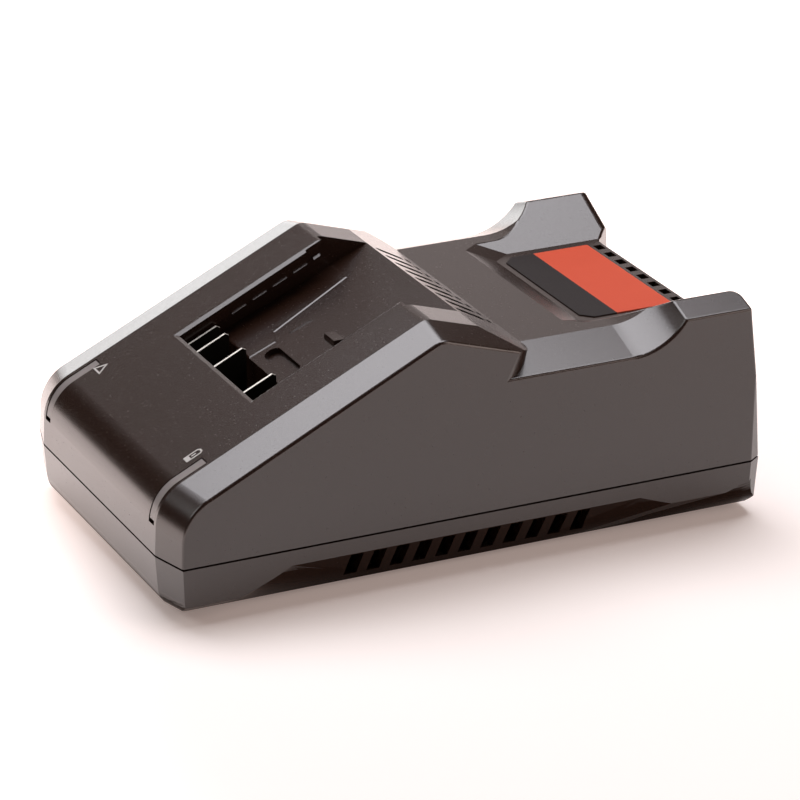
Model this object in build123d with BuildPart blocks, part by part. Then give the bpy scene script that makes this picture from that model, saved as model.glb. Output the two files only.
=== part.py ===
from build123d import *
import math
import os

os.makedirs("parts", exist_ok=True)

# Power tool battery charger: a wedge-shaped bench charger with a slide-in battery channel.
# Millimetres. +X is to the right, +Y runs from the nose to the rear wall, +Z is up.
# The origin is at the middle of the footprint, on the table. A station is a distance
# along Y from the nose, and a setback is a distance along Y from the rear wall.

# ---------------------------------------------------------------- driving dimensions
LENGTH = 190.0              # nose to rear wall
WIDTH = 114.0               # across the side walls at the parting line
HEIGHT = 76.5               # table to ridge, before the ridge is rounded
PARTING_HEIGHT = 18.6       # middle of the line between the two shells
WALL = 2.5                  # shell wall
FIT = 0.2                   # loose clearance between assembled pieces
SNUG = 0.05                 # close clearance round screws, blades and pins

# Upper shell, side profile
NOSE_LEAN = 0.8             # how far the nose wall leans back up to the slope
NOSE_RADIUS = 14.0
SLOPE_RISE = 0.484          # rise per millimetre of the sloping top
RIDGE_STATION = 84.5
RIDGE_RADIUS = 5.0
SHOULDER_RUN = 16.4         # ridge to lower ridge
SHOULDER_DROP = 4.9
VENT_RUN = 15.0             # lower ridge to deck
VENT_DROP = 8.2
DECK_START = RIDGE_STATION + SHOULDER_RUN + VENT_RUN
DECK_HEIGHT = HEIGHT - SHOULDER_DROP - VENT_DROP

# Upper shell, bevels and drafts
BEVEL_WIDTH = 12.6          # slope bevel, across
BEVEL_DROP = 3.1
CORNER_SET = 3.4            # how far the front corner facets run back
SHOULDER_RADIUS = 12.0      # rounded rear corners of the shoulders, seen from above
SHOULDER_FOOT_RADIUS = 17.0 # the same corners where they meet the deck bevel
SHOULDER_TIP_RISE = 3.0     # the corners are upright from this far above the deck
DECK_BEVEL = 15.0           # deck bevel, across
DECK_BEVEL_DROP = 5.5
SIDE_DRAFT = 1.3            # lean of each side wall at ridge height
REAR_LEAN = 5.6             # lean of the rear wall at ridge height
REAR_CHAMFER_X = 2.9
REAR_CHAMFER_Y = 4.1
EDGE_RADIUS = 1.0           # rounding along the sharp outer edges
EAR_END_RADIUS = 3.5        # rounding where an ear's inner face meets the rear wall
SHARP_ANGLE = 34.0          # degrees between faces, from which an edge is rounded

# Rear ears, the valley between them and the rear bay for the cord inlet
RAMP_SETBACK = 44.0         # where the deck starts to curve up
RAMP_RADIUS = 21.5
EAR_RISE = 8.7              # ear top above the deck
VALLEY_INSET = 25.6         # side wall to the foot of an ear's inner face
VALLEY_SLOPE = 0.614        # rise per millimetre of an ear's inner face
PANEL_DEPTH = 3.0           # panel floor below the deck
PANEL_FRONT_SETBACK = 47.4
PANEL_FRONT_RUN = 8.0       # gentle slope from the deck down to the panel floor
PANEL_CORNER_X = 4.4
PANEL_CORNER_Y = 5.8
PANEL_CORNER_DRAFT = 0.9    # how far the panel's front corners lean out on the way up
BAY_DEPTH = 10.0
BAY_INNER_HALF = 30.5
BAY_OUTER_HALF = 41.0

# Hollows inside the ears and the rear corners
EAR_SIDE_MARGIN = 0.3       # extra side wall
EAR_CROWN_INSET = 9.5       # side wall to the highest line of the hollow
EAR_CROWN_DROP = 2.4        # the highest line below the ear's own roof
EAR_SIDE_DROP = 4.8         # outer edge of the hollow below the same roof
EAR_INNER_MARGIN = 5.0      # foot of the valley to the hollow
EAR_HOLLOW_SETBACK = 40.0   # front end, under the ramp
EAR_RAMP_RISES = ((0.0, -2.0), (7.0, 0.6), (13.0, 3.6))
EAR_CROWN_RUN = 16.5        # front end to where the roof levels out
EAR_HOLLOW_RUN = 30.0
EAR_REAR_LEAN = 1.5
EAR_HOLLOW_SINK = 6.0       # the hollow opens this far down into the deck's hollow
CORNER_MARGIN = 0.5         # extra wall beside the bay
CORNER_RUN = 3.0            # how far the corner hollows reach in front of the bay wall
CORNER_LEAN = 3.4
CORNER_ROOF_DROP = 8.0      # roof of the corner hollows below the deck

# Battery channel
LIP_HALF = 27.5             # between the two rails, from the middle
LIP_THICKNESS = 4.4         # rail thickness, measured upright
GROOVE_DEPTH = 3.1          # how far the rail grooves reach under the lips
MOUTH_STEP = 0.9            # the open end behind the ridge is this much wider
CHANNEL_STATION = 37.7      # front rim
PIT_END_STATION = 52.0
PIT_FLOOR = 38.0
CHANNEL_FLOOR_RISE = 0.426  # rise per millimetre of the channel floor
CHANNEL_OVERRUN = 3.0       # the channel runs this far out over the vent facet
RAIL_END_STATION = 79.2     # the rails step back a little before the ridge
RAIL_END_STEP = 0.8
RIM_WIDTH = 1.4             # low bevel round the rim of the channel
RIM_DROP = 0.6
TOOTH_COUNT = 5             # guide teeth along the foot of each rail
TOOTH_PITCH = 6.7
TOOTH_LENGTH = 4.5
TOOTH_EDGE = 0.2            # height of a tooth at its tip
TOOTH_RISE = 0.45           # its top slopes up to the rail by this much
TOOTH_STICK_OUT = 0.85
TOOTH_STATION = 54.6

# Moulded details of the channel floor
PLATEAU_HEIGHT = 0.2       # low step along the left side, with a sloping edge
PLATEAU_TAPER = 66.0
PLATEAU_FRONT_X = 8.1
PLATEAU_WAIST_X = 13.6
PLATEAU_REAR_X = 19.4
PLATEAU_WAIST_STATION = 60.7
PLATEAU_END_STATION = 89.0
RECESS_STATION = 57.5       # oblong recess
RECESS_START_X = -6.0
RECESS_LENGTH = 19.0
RECESS_WIDTH = 5.4
RECESS_DEPTH = 1.7
STOP_STATION = 72.0         # raised stop with a level top
STOP_X = 8.6
STOP_LENGTH = 7.0
STOP_WIDTH = 3.4
STOP_HEIGHT = 0.5           # at its rear edge
RIB_X = -8.5                # thin raised line
RIB_STATION = 65.2
RIB_LENGTH = 8.0
RIB_WIDTH = 1.2
RIB_HEIGHT = 0.25
RIB_TAPER = 60.0

# Vents
SLIT_COUNT = 9
SLIT_PITCH = 6.9
SLIT_WIDTH = 3.0
SLIT_RUN = 9.0
SLIT_TAIL = 1.4
SLIT_BRIDGE = 0.9
SLIT_START = 1.4            # lower ridge to the top of a slit
HOLE_COUNT = 8
HOLE_PITCH = 7.03
HOLE_X = 3.9
HOLE_Y = 2.7
HOLE_SETBACK = 13.0
LOUVRE_COUNT = 11
LOUVRE_PITCH = 7.3
LOUVRE_WIDTH = 4.1
LOUVRE_STATION = 57.4
LOUVRE_SILL = 0.2           # floor to the foot of a louvre
LOUVRE_HEADER = 0.8         # top of a louvre to the arch line

# Lower shell
FLOOR_UNDERSIDE = 2.0       # the feet lift the floor this far off the table
FLOOR_THICKNESS = 2.4
UNDERCUT_WIDTH = 8.0        # how far the underside tucks in below the side walls
LOWER_TAPER = 4.0           # degrees
FRONT_FOOT_HEIGHT = 6.8     # lower edge of the side wall over the front feet
REAR_FOOT_HEIGHT = 10.2
ARCH_HEIGHT = 14.0          # lower edge of the side wall along the louvres
ARCH_RISE_STATION = 21.5
ARCH_STATION = 35.3
ARCH_END_SETBACK = 39.7
REAR_FOOT_SETBACK = 28.0
TAIL_SETBACK = 8.4
TAIL_HEIGHT = 14.0
LOWER_EDGE_RADIUS = 6.5
TRAY_MARGIN = 2.2           # extra wall where the side walls tuck in
SHADOW_GAP = 0.6            # visible line between the shells
TONGUE_HEIGHT = 2.0
TONGUE_INSET = 1.4
TONGUE_FIT = 0.1

# Light pipes
PIPE_INSET = 15.9           # side wall to pipe centre
PIPE_WIDTH = 3.2
PIPE_THICKNESS = 2.9
PIPE_TOP_STATION = 16.8
PIPE_FOOT_HEIGHT = 28.6
PIPE_FIT = 0.3
PIPE_LEG = 3.0
PIPE_LEG_STATION = 9.5
PIPE_SINK = 0.15            # how far a pipe sits below the shell's face
PIPE_SLOT_SILL = 1.2        # the slot starts this far below the pipe

# Circuit board and the posts that carry it
BOARD_UNDERSIDE = 9.0
BOARD_THICKNESS = 1.6
BOARD_INSET = 12.0          # side wall to board edge
BOARD_FRONT_STATION = 6.0
BOARD_REAR_SETBACK = 26.0
POST_RADIUS = 3.2
POST_INSET = 21.0
POST_STATIONS = (32.0, 152.0)
BOSS_RADIUS = 4.6
BOSS_INSET = 13.0
BOSS_FRONT_STATION = 24.0
BOSS_REAR_SETBACK = 17.5

# Screws
SCREW_RADIUS = 1.3
SCREW_CLEARANCE = 1.7
HOUSING_HEAD_RADIUS = 2.9
HOUSING_HEAD_HEIGHT = 2.2
HOUSING_SCREW_LENGTH = 22.0
COUNTERBORE_DEPTH = 5.0
COUNTERBORE_FIT = 0.4
HEX_RADIUS = 1.4            # hexagonal drive of the housing screws
HEX_DEPTH = 1.4
CROSS_LENGTH = 3.0          # cross drive of the small screws
CROSS_WIDTH = 0.7
CROSS_DEPTH = 1.0
BOARD_HEAD_RADIUS = 2.7
BOARD_HEAD_HEIGHT = 1.8
BOARD_SCREW_LENGTH = 5.4

# Contacts
BLADE_THICKNESS = 0.8
BLADE_DEPTH = 4.0           # blade edge below the slope, measured upright
BLADE_FRONT_STATION = 38.9
BLADE_REAR_STATION = 50.1
BLADE_TAIL_WIDTH = 3.2
BLADE_STICK_OUT = 0.6       # tail below the board
BLADE_SHOULDER = 2.0        # the neck is this much wider than the tail, each side
BLADE_CHAMFER = 1.2
TOWER_MARGIN = 3.4          # outer blades to the side walls of the contact tower
TOWER_CLEARANCE = 1.0
TOWER_CORNER = 0.8
TOWER_WALL = 2.0
TOWER_ROOF = 3.0
BLADES = (
    ("contact_negative", -25.8),
    ("contact_sense_code", -19.1),
    ("contact_sense_heat", -6.2),
    ("contact_positive", 15.8),
)

# Cord inlet
INLET_X = 18.0
CORD_RADIUS = 3.6
BUSHING_NECK = 5.4
BUSHING_FLANGE = 7.0
BUSHING_FLANGE_THICKNESS = 2.0
BUSHING_NOSE = 4.0
CLAMP_SETBACK = 7.5         # bay wall to the middle of the cord clamp
CLAMP_SCREW_X = 10.0        # cord to each clamp screw
CLAMP_LENGTH = 27.0
CLAMP_WIDTH = 7.0
CLAMP_CORNER = 2.5
CLAMP_HEIGHT = 4.5
CLAMP_SEAT = 0.9            # clamp's underside above the middle of the cord
CLAMP_POST_RADIUS = 3.0
CLAMP_SCREW_REACH = 7.0     # screw below the clamp
SADDLE_LENGTH = 9.0
SADDLE_WIDTH = 6.0

# Feet and wall-hanging keyholes
FOOT_RADIUS = 5.5
FOOT_SEAT_DEPTH = 0.9
FOOT_X = 36.0
FOOT_STATIONS = (14.0, 172.0)
KEYHOLE_STATIONS = (66.0, 130.0)
KEYHOLE_HEAD_RADIUS = 4.6
KEYHOLE_NECK = 4.6
KEYHOLE_TRAVEL = 9.0
KEYHOLE_ROOF = 1.2
KEYHOLE_SPACE = 3.4
KEYHOLE_RELIEF = 0.9        # how far the head space cuts into the floor
KEYHOLE_WALL = 1.5
FOOT_CHAMFER = 0.6

# Panel film
FILM_WIDTH = 55.0
FILM_THICKNESS = 0.3
FILM_FRONT_SETBACK = 45.4
FILM_REAR_SETBACK = 15.8
FILM_CORNER = 3.4
FILM_REAR_RADIUS = 0.8

# ---------------------------------------------------------------- derived places
HALF_LENGTH = LENGTH / 2
HALF_WIDTH = WIDTH / 2
UPPER_BASE = PARTING_HEIGHT + SHADOW_GAP / 2
LOWER_TOP = PARTING_HEIGHT - SHADOW_GAP / 2
TONGUE_TOP = PARTING_HEIGHT + TONGUE_HEIGHT
FLOOR_TOP = FLOOR_UNDERSIDE + FLOOR_THICKNESS
BOARD_TOP = BOARD_UNDERSIDE + BOARD_THICKNESS
PANEL_HEIGHT = DECK_HEIGHT - PANEL_DEPTH
SKY = HEIGHT + 20.0         # safely above everything, for cuts that run out of the top
BEVEL_X = HALF_WIDTH - BEVEL_WIDTH
DECK_X = HALF_WIDTH - DECK_BEVEL
VALLEY_HALF = HALF_WIDTH - VALLEY_INSET
INLET_Y = HALF_LENGTH - BAY_DEPTH
GROOVE_HALF = LIP_HALF + GROOVE_DEPTH
MOUTH_HALF = GROOVE_HALF + MOUTH_STEP


def along(station):
    """Y of a station measured from the nose."""
    return station - HALF_LENGTH


def before_rear(setback):
    """Y of a setback measured from the rear wall."""
    return HALF_LENGTH - setback


def slope_height(station):
    """Height of the sloping top at a station."""
    return HEIGHT - (RIDGE_STATION - station) * SLOPE_RISE


def channel_floor_height(station):
    """Height of the channel floor, which comes out at the lower ridge."""
    lower_ridge = RIDGE_STATION + SHOULDER_RUN
    return HEIGHT - SHOULDER_DROP - (lower_ridge - station) * CHANNEL_FLOOR_RISE


def front_outline(base, bevelled):
    """Side profile of the front block: nose, slope, shoulder and vent facet."""
    front = CORNER_SET if bevelled else 0.0
    drop = BEVEL_DROP if bevelled else 0.0
    nose_station = front + NOSE_LEAN
    shoulder_fall = SHOULDER_DROP / SHOULDER_RUN
    vent_fall = VENT_DROP / VENT_RUN
    shoulder_run = (SHOULDER_RUN * vent_fall - SHOULDER_DROP + drop) / (vent_fall - shoulder_fall)
    return [
        (along(front), base),
        (along(nose_station), slope_height(nose_station) - drop),
        (along(RIDGE_STATION), HEIGHT - drop),
        (along(RIDGE_STATION + shoulder_run), HEIGHT - drop - shoulder_run * shoulder_fall),
        (along(DECK_START), DECK_HEIGHT),
        (along(DECK_START), base),
    ]


def front_block(inset, base):
    """Solid front block, with every face moved inwards by an inset."""
    with BuildPart() as block:
        sections = []
        for bevelled, x in ((False, BEVEL_X), (True, HALF_WIDTH - inset)):
            with BuildSketch(Plane.YZ.offset(x)) as section:
                with BuildLine():
                    Polyline(*front_outline(base, bevelled), close=True)
                make_face()
                nose = section.vertices().sort_by(Axis.X)[:2].sort_by(Axis.Y)[-1]
                fillet(nose, NOSE_RADIUS)
                ridge = section.vertices().sort_by(Axis.Y)[-1]
                fillet(ridge, RIDGE_RADIUS)
                if inset > 0:
                    offset(amount=-inset, kind=Kind.INTERSECTION)
            sections.append(section.sketch)
        extrude(sections[0], amount=-2 * BEVEL_X)
        loft(sections=[sections[0].face(), sections[1].face()], ruled=True)
        mirror(about=Plane.YZ)
    return block.part


def rear_block(base):
    """Solid rear block: deck, curved ramps and ears, before the valley is cut."""
    turn = math.acos(1 - EAR_RISE / RAMP_RADIUS)
    ramp_start = before_rear(RAMP_SETBACK)
    start = along(DECK_START - SHOULDER_FOOT_RADIUS - WALL)
    with BuildPart() as block:
        sections = []
        for drop, x in ((0.0, DECK_X), (DECK_BEVEL_DROP, HALF_WIDTH)):
            deck = DECK_HEIGHT - drop
            ramp_end = ramp_start + RAMP_RADIUS * math.sin(turn)
            ear = deck + EAR_RISE
            with BuildSketch(Plane.YZ.offset(x)) as section:
                with BuildLine():
                    Polyline((start, base), (start, deck), (ramp_start, deck))
                    CenterArc((ramp_start, deck + RAMP_RADIUS), RAMP_RADIUS, -90, math.degrees(turn))
                    Polyline((ramp_end, ear), (HALF_LENGTH, ear), (HALF_LENGTH, base), (start, base))
                make_face()
            sections.append(section.sketch)
        extrude(sections[0], amount=-2 * DECK_X)
        loft(sections=[sections[0].face(), sections[1].face()], ruled=True)
        mirror(about=Plane.YZ)
    return block.part


def shoulder_plan(inset, radius):
    """Plan of the front block with rounded rear corners, moved inwards by an inset."""
    rear = along(DECK_START) - inset
    with BuildSketch() as plan:
        with Locations((0, (rear - HALF_LENGTH) / 2)):
            Rectangle(WIDTH - 2 * inset, rear + HALF_LENGTH)
        fillet(plan.vertices().group_by(Axis.Y)[-1], radius - inset)
    return plan.sketch


def shoulder_block(inset):
    """Space that the shoulders stay in: rounded corners that fill out upwards."""
    foot = Pos(0, 0, DECK_HEIGHT - DECK_BEVEL_DROP - 1) * shoulder_plan(inset, SHOULDER_FOOT_RADIUS)
    tip = Pos(0, 0, DECK_HEIGHT + SHOULDER_TIP_RISE) * shoulder_plan(inset, SHOULDER_RADIUS)
    with BuildPart() as block:
        extrude(foot, amount=-HEIGHT)
        loft(sections=[foot.face(), tip.face()], ruled=True)
        extrude(tip, amount=SKY)
    return block.part


def plan_outline(inset):
    """Plan of both shells at the parting line, moved inwards by an inset."""
    right = [
        (BEVEL_X, along(0)),
        (HALF_WIDTH, along(CORNER_SET)),
        (HALF_WIDTH, before_rear(REAR_CHAMFER_Y)),
        (HALF_WIDTH - REAR_CHAMFER_X, before_rear(0)),
        (BAY_OUTER_HALF, before_rear(0)),
        (BAY_INNER_HALF, before_rear(BAY_DEPTH)),
    ]
    left = [(-x, y) for x, y in reversed(right)]
    with BuildSketch() as plan:
        with BuildLine():
            Polyline(*right, *left, close=True)
        make_face()
        if inset > 0:
            offset(amount=-inset, kind=Kind.INTERSECTION)
    return plan.sketch


def valley_outline(rise):
    """Plan of the valley between the ears, at a rise above the panel floor."""
    front_fall = PANEL_FRONT_RUN / PANEL_DEPTH
    corner_creep = (PANEL_CORNER_X + PANEL_CORNER_DRAFT) / PANEL_DEPTH
    side = VALLEY_HALF + rise / VALLEY_SLOPE
    front_x = VALLEY_HALF - PANEL_CORNER_X + rise * corner_creep
    front_y = before_rear(PANEL_FRONT_SETBACK) - rise * front_fall
    corner_y = front_y + (side - front_x) * PANEL_CORNER_Y / PANEL_CORNER_X
    right = [(front_x, front_y), (side, corner_y), (side, HALF_LENGTH + 5)]
    left = [(-x, y) for x, y in reversed(right)]
    return right + left


def side_drafts(inset):
    """Wedges outside the two drafted side walls, moved inwards by an inset."""
    foot = HALF_WIDTH - inset
    lean = SIDE_DRAFT / (HEIGHT - PARTING_HEIGHT) * (SKY - PARTING_HEIGHT)
    with BuildPart() as wedges:
        with BuildSketch(Plane.XZ.offset(-HALF_LENGTH - 5)):
            for side in (-1, 1):
                with BuildLine():
                    Polyline(
                        (side * foot, UPPER_BASE),
                        (side * (HALF_WIDTH + 5), UPPER_BASE),
                        (side * (HALF_WIDTH + 5), SKY),
                        (side * (foot - lean), SKY),
                        close=True,
                    )
                make_face()
        extrude(amount=LENGTH + 10)
    return wedges.part


def boss_places():
    """Centres of the four screw bosses."""
    x = HALF_WIDTH - BOSS_INSET
    stations = (along(BOSS_FRONT_STATION), before_rear(BOSS_REAR_SETBACK))
    return [(side * x, y) for side in (-1, 1) for y in stations]


def post_places():
    """Centres of the four posts under the circuit board."""
    x = HALF_WIDTH - POST_INSET
    return [(side * x, along(station)) for side in (-1, 1) for station in POST_STATIONS]


def foot_places():
    """Centres of the four rubber feet."""
    return [(side * FOOT_X, along(station)) for side in (-1, 1) for station in FOOT_STATIONS]


def is_sharp(edge):
    """Whether an outer edge of the upper shell is rounded; ridge and shoulder tips stay crisp."""
    middle = edge.center()
    beside = [
        face
        for face in upper_envelope.faces()
        if any(edge.is_same(other) for other in face.edges())
    ]
    if len(beside) != 2:
        return False
    turn = beside[0].normal_at(middle).get_angle(beside[1].normal_at(middle))
    tip_start = along(DECK_START) - SHOULDER_FOOT_RADIUS - 4
    at_tip = abs(middle.X) > LIP_HALF + 10 and tip_start < middle.Y < along(DECK_START) + 2
    between = UPPER_BASE + 1 < middle.Z < HEIGHT - SNUG
    return between and turn > SHARP_ANGLE and not at_tip and edge.length > 2


def is_ear_end(edge):
    """Whether an edge joins an ear's inner face to the leaning rear wall."""
    middle = edge.center()
    in_valley = BAY_INNER_HALF + 6 < abs(middle.X) < DECK_X + 6
    return in_valley and middle.Y > INLET_Y + 2 and PANEL_HEIGHT + 3 < middle.Z


# ---------------------------------------------------------------- upper housing
with BuildPart() as upper_envelope:
    add(front_block(0.0, UPPER_BASE))
    # the shoulders end in rounded corners over the deck bevel
    add(shoulder_block(0.0), mode=Mode.INTERSECT)
    add(rear_block(UPPER_BASE))
    # the valley between the ears, with its sunk panel floor
    with BuildSketch(Plane.XY.offset(PANEL_HEIGHT)) as valley_floor:
        with BuildLine():
            Polyline(*valley_outline(0.0), close=True)
        make_face()
    with BuildSketch(Plane.XY.offset(PANEL_HEIGHT + EAR_RISE + 5)) as valley_sky:
        with BuildLine():
            Polyline(*valley_outline(EAR_RISE + 5), close=True)
        make_face()
    loft(
        sections=[valley_floor.sketch.face(), valley_sky.sketch.face()],
        ruled=True,
        mode=Mode.SUBTRACT,
    )
    # drafted side walls
    add(side_drafts(0.0), mode=Mode.SUBTRACT)
    # leaning rear wall
    rear_lean = REAR_LEAN / (HEIGHT - PARTING_HEIGHT) * (SKY - PARTING_HEIGHT)
    with BuildSketch(Plane.YZ.offset(-HALF_WIDTH - 5)) as rear_draft:
        with BuildLine():
            Polyline(
                (HALF_LENGTH, UPPER_BASE),
                (HALF_LENGTH + 5, UPPER_BASE),
                (HALF_LENGTH + 5, SKY),
                (HALF_LENGTH - rear_lean, SKY),
                close=True,
            )
        make_face()
    extrude(amount=WIDTH + 10, mode=Mode.SUBTRACT)
    # rear corner chamfers and the bay for the cord inlet
    with BuildSketch(Plane.XY.offset(UPPER_BASE)) as rear_cuts:
        for side in (-1, 1):
            with BuildLine():
                Polyline(
                    (side * HALF_WIDTH, before_rear(REAR_CHAMFER_Y)),
                    (side * (HALF_WIDTH - REAR_CHAMFER_X), HALF_LENGTH),
                    (side * (HALF_WIDTH + 1), HALF_LENGTH + 1),
                    close=True,
                )
            make_face()
        with BuildLine():
            Polyline(
                (-BAY_OUTER_HALF, HALF_LENGTH),
                (-BAY_INNER_HALF, INLET_Y),
                (BAY_INNER_HALF, INLET_Y),
                (BAY_OUTER_HALF, HALF_LENGTH),
                (BAY_OUTER_HALF, HALF_LENGTH + 1),
                (-BAY_OUTER_HALF, HALF_LENGTH + 1),
                close=True,
            )
        make_face()
    extrude(amount=SKY, mode=Mode.SUBTRACT)
    fillet(upper_envelope.edges().filter_by(is_ear_end), EAR_END_RADIUS)
    fillet(upper_envelope.edges().filter_by(is_sharp), EDGE_RADIUS)


def bevel_underside(height):
    """Half width of the space under the deck bevel at a height."""
    slope = DECK_BEVEL_DROP / DECK_BEVEL
    wall_line = DECK_HEIGHT - DECK_BEVEL_DROP + slope * WALL - WALL * math.hypot(1, slope)
    return HALF_WIDTH - WALL - (height - wall_line) / slope, wall_line


def deck_space(top, start, end):
    """Space under the deck up to a height, between two places along Y."""
    top_half, wall_line = bevel_underside(top)
    wall_x = HALF_WIDTH - WALL
    low = UPPER_BASE - 1
    with BuildPart() as space:
        with BuildSketch(Plane.XZ.offset(-end)):
            with BuildLine():
                Polyline(
                    (-wall_x, low),
                    (-wall_x, wall_line),
                    (-top_half, top),
                    (top_half, top),
                    (wall_x, wall_line),
                    (wall_x, low),
                    close=True,
                )
            make_face()
        extrude(amount=end - start)
    return space.part


def ear_space():
    """Spaces inside the two ears, behind the curved ramps."""
    foot = PANEL_HEIGHT - WALL
    roof = DECK_HEIGHT + EAR_RISE - 1.2 * WALL
    wall_x = HALF_WIDTH - WALL - EAR_SIDE_MARGIN
    inner_x = VALLEY_HALF + EAR_INNER_MARGIN
    crown_x = HALF_WIDTH - EAR_CROWN_INSET
    crown = roof - EAR_CROWN_DROP
    low = foot - EAR_HOLLOW_SINK
    start = before_rear(EAR_HOLLOW_SETBACK)
    with BuildPart() as space:
        with BuildSketch(Plane.XZ.offset(-HALF_LENGTH)):
            for side in (-1, 1):
                with BuildLine():
                    Polyline(
                        (side * inner_x, foot - 0.5),
                        (side * inner_x, foot),
                        (side * crown_x, crown),
                        (side * wall_x, roof - EAR_SIDE_DROP),
                        (side * wall_x, low + 2),
                        (side * crown_x, low + 2),
                        close=True,
                    )
                make_face()
        extrude(amount=RAMP_SETBACK)
        with BuildSketch(Plane.YZ.offset(-HALF_WIDTH)):
            with BuildLine():
                Polyline(
                    (start, low),
                    *[(start + run, foot + rise) for run, rise in EAR_RAMP_RISES],
                    (start + EAR_CROWN_RUN, crown),
                    (start + EAR_HOLLOW_RUN, crown),
                    (start + EAR_HOLLOW_RUN + EAR_REAR_LEAN, low),
                    close=True,
                )
            make_face()
        extrude(amount=WIDTH, mode=Mode.INTERSECT)
    return space.part


def corner_space():
    """Spaces in the rear corners, beside the bay."""
    inner = BAY_OUTER_HALF + WALL + CORNER_MARGIN
    front = INLET_Y - WALL - CORNER_RUN
    rear = HALF_LENGTH - WALL
    roof = DECK_HEIGHT - CORNER_ROOF_DROP
    with BuildPart() as space:
        with BuildSketch(Plane.YZ.offset(inner)):
            with BuildLine():
                Polyline(
                    (front, UPPER_BASE - 1),
                    (rear, UPPER_BASE - 1),
                    (rear - CORNER_LEAN, roof),
                    (front, roof),
                    close=True,
                )
            make_face()
        extrude(amount=HALF_WIDTH - WALL - inner)
        mirror(about=Plane.YZ)
    return space.part


def up_floor(station):
    """Distance up the sloping channel floor, from the edge of the contact pit."""
    return (station - PIT_END_STATION) * math.hypot(1, CHANNEL_FLOOR_RISE)


def channel_profile(grow):
    """Side profile of the battery channel, grown outwards to give its casing."""
    rim = CHANNEL_STATION - grow
    pit_end = PIT_END_STATION + grow
    open_end = RIDGE_STATION + SHOULDER_RUN + CHANNEL_OVERRUN
    floor_drop = grow * math.hypot(1, CHANNEL_FLOOR_RISE)
    return [
        (along(rim), SKY),
        (along(rim), PIT_FLOOR - grow),
        (along(pit_end), PIT_FLOOR - grow),
        (along(pit_end), channel_floor_height(pit_end) - floor_drop),
        (along(open_end), channel_floor_height(open_end) - floor_drop),
        (along(open_end), SKY),
    ]


def slope_prism(half, low_offset, start, end):
    """Space above a line parallel to the slope, out of the top."""
    with BuildPart() as prism:
        with BuildSketch(Plane.YZ.offset(-half)):
            with BuildLine():
                Polyline(
                    (along(start), slope_height(start) - low_offset),
                    (along(end), slope_height(end) - low_offset),
                    (along(end), SKY),
                    (along(start), SKY),
                    close=True,
                )
            make_face()
        extrude(amount=2 * half)
    return prism.part


with BuildPart() as channel_void:
    with BuildSketch(Plane.YZ.offset(-GROOVE_HALF)):
        with BuildLine():
            Polyline(*channel_profile(0.0), close=True)
        make_face()
    extrude(amount=2 * GROOVE_HALF)
    # leave the two rails that hold the battery down
    rails = slope_prism(GROOVE_HALF + 1, LIP_THICKNESS, CHANNEL_STATION - 1, RIDGE_STATION)
    add(rails, mode=Mode.SUBTRACT)
    add(slope_prism(LIP_HALF, LIP_THICKNESS + 0.5, CHANNEL_STATION, RIDGE_STATION + 1))
    rail_end = slope_prism(
        LIP_HALF + RAIL_END_STEP, LIP_THICKNESS + 0.5, RAIL_END_STATION, RIDGE_STATION + 1
    )
    add(rail_end)
    # the open mouth behind the ridge is a little wider
    mouth_end = RIDGE_STATION + SHOULDER_RUN + CHANNEL_OVERRUN
    with BuildSketch(Plane.YZ.offset(-MOUTH_HALF)):
        with BuildLine():
            Polyline(
                (along(RIDGE_STATION), channel_floor_height(RIDGE_STATION)),
                (along(mouth_end), channel_floor_height(mouth_end)),
                (along(mouth_end), SKY),
                (along(RIDGE_STATION), SKY),
                close=True,
            )
        make_face()
    extrude(amount=2 * MOUTH_HALF)

with BuildPart() as channel_casing:
    with BuildSketch(Plane.YZ.offset(-GROOVE_HALF - WALL)):
        with BuildLine():
            Polyline(*channel_profile(WALL), close=True)
        make_face()
    extrude(amount=2 * (GROOVE_HALF + WALL))
    add(upper_envelope.part, mode=Mode.INTERSECT)

with BuildPart() as upper_bosses:
    with BuildSketch(Plane.XY.offset(TONGUE_TOP)):
        with Locations(*boss_places()):
            Circle(BOSS_RADIUS)
    extrude(amount=SKY)
    add(upper_envelope.part, mode=Mode.INTERSECT)


with BuildPart() as channel_rim:
    rim_plane = Plane(
        origin=(0, along(CHANNEL_STATION), slope_height(CHANNEL_STATION)),
        x_dir=(1, 0, 0),
        z_dir=(0, -SLOPE_RISE, 1),
    )
    rim_run = (RIDGE_STATION - CHANNEL_STATION) * math.hypot(1, SLOPE_RISE) + 2 * RIM_WIDTH
    with BuildSketch(rim_plane):
        with Locations((0, rim_run / 2 - RIM_WIDTH)):
            Rectangle(2 * (LIP_HALF + RIM_WIDTH), rim_run)
    extrude(amount=-RIM_DROP, taper=math.degrees(math.atan2(RIM_WIDTH, RIM_DROP)))


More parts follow.
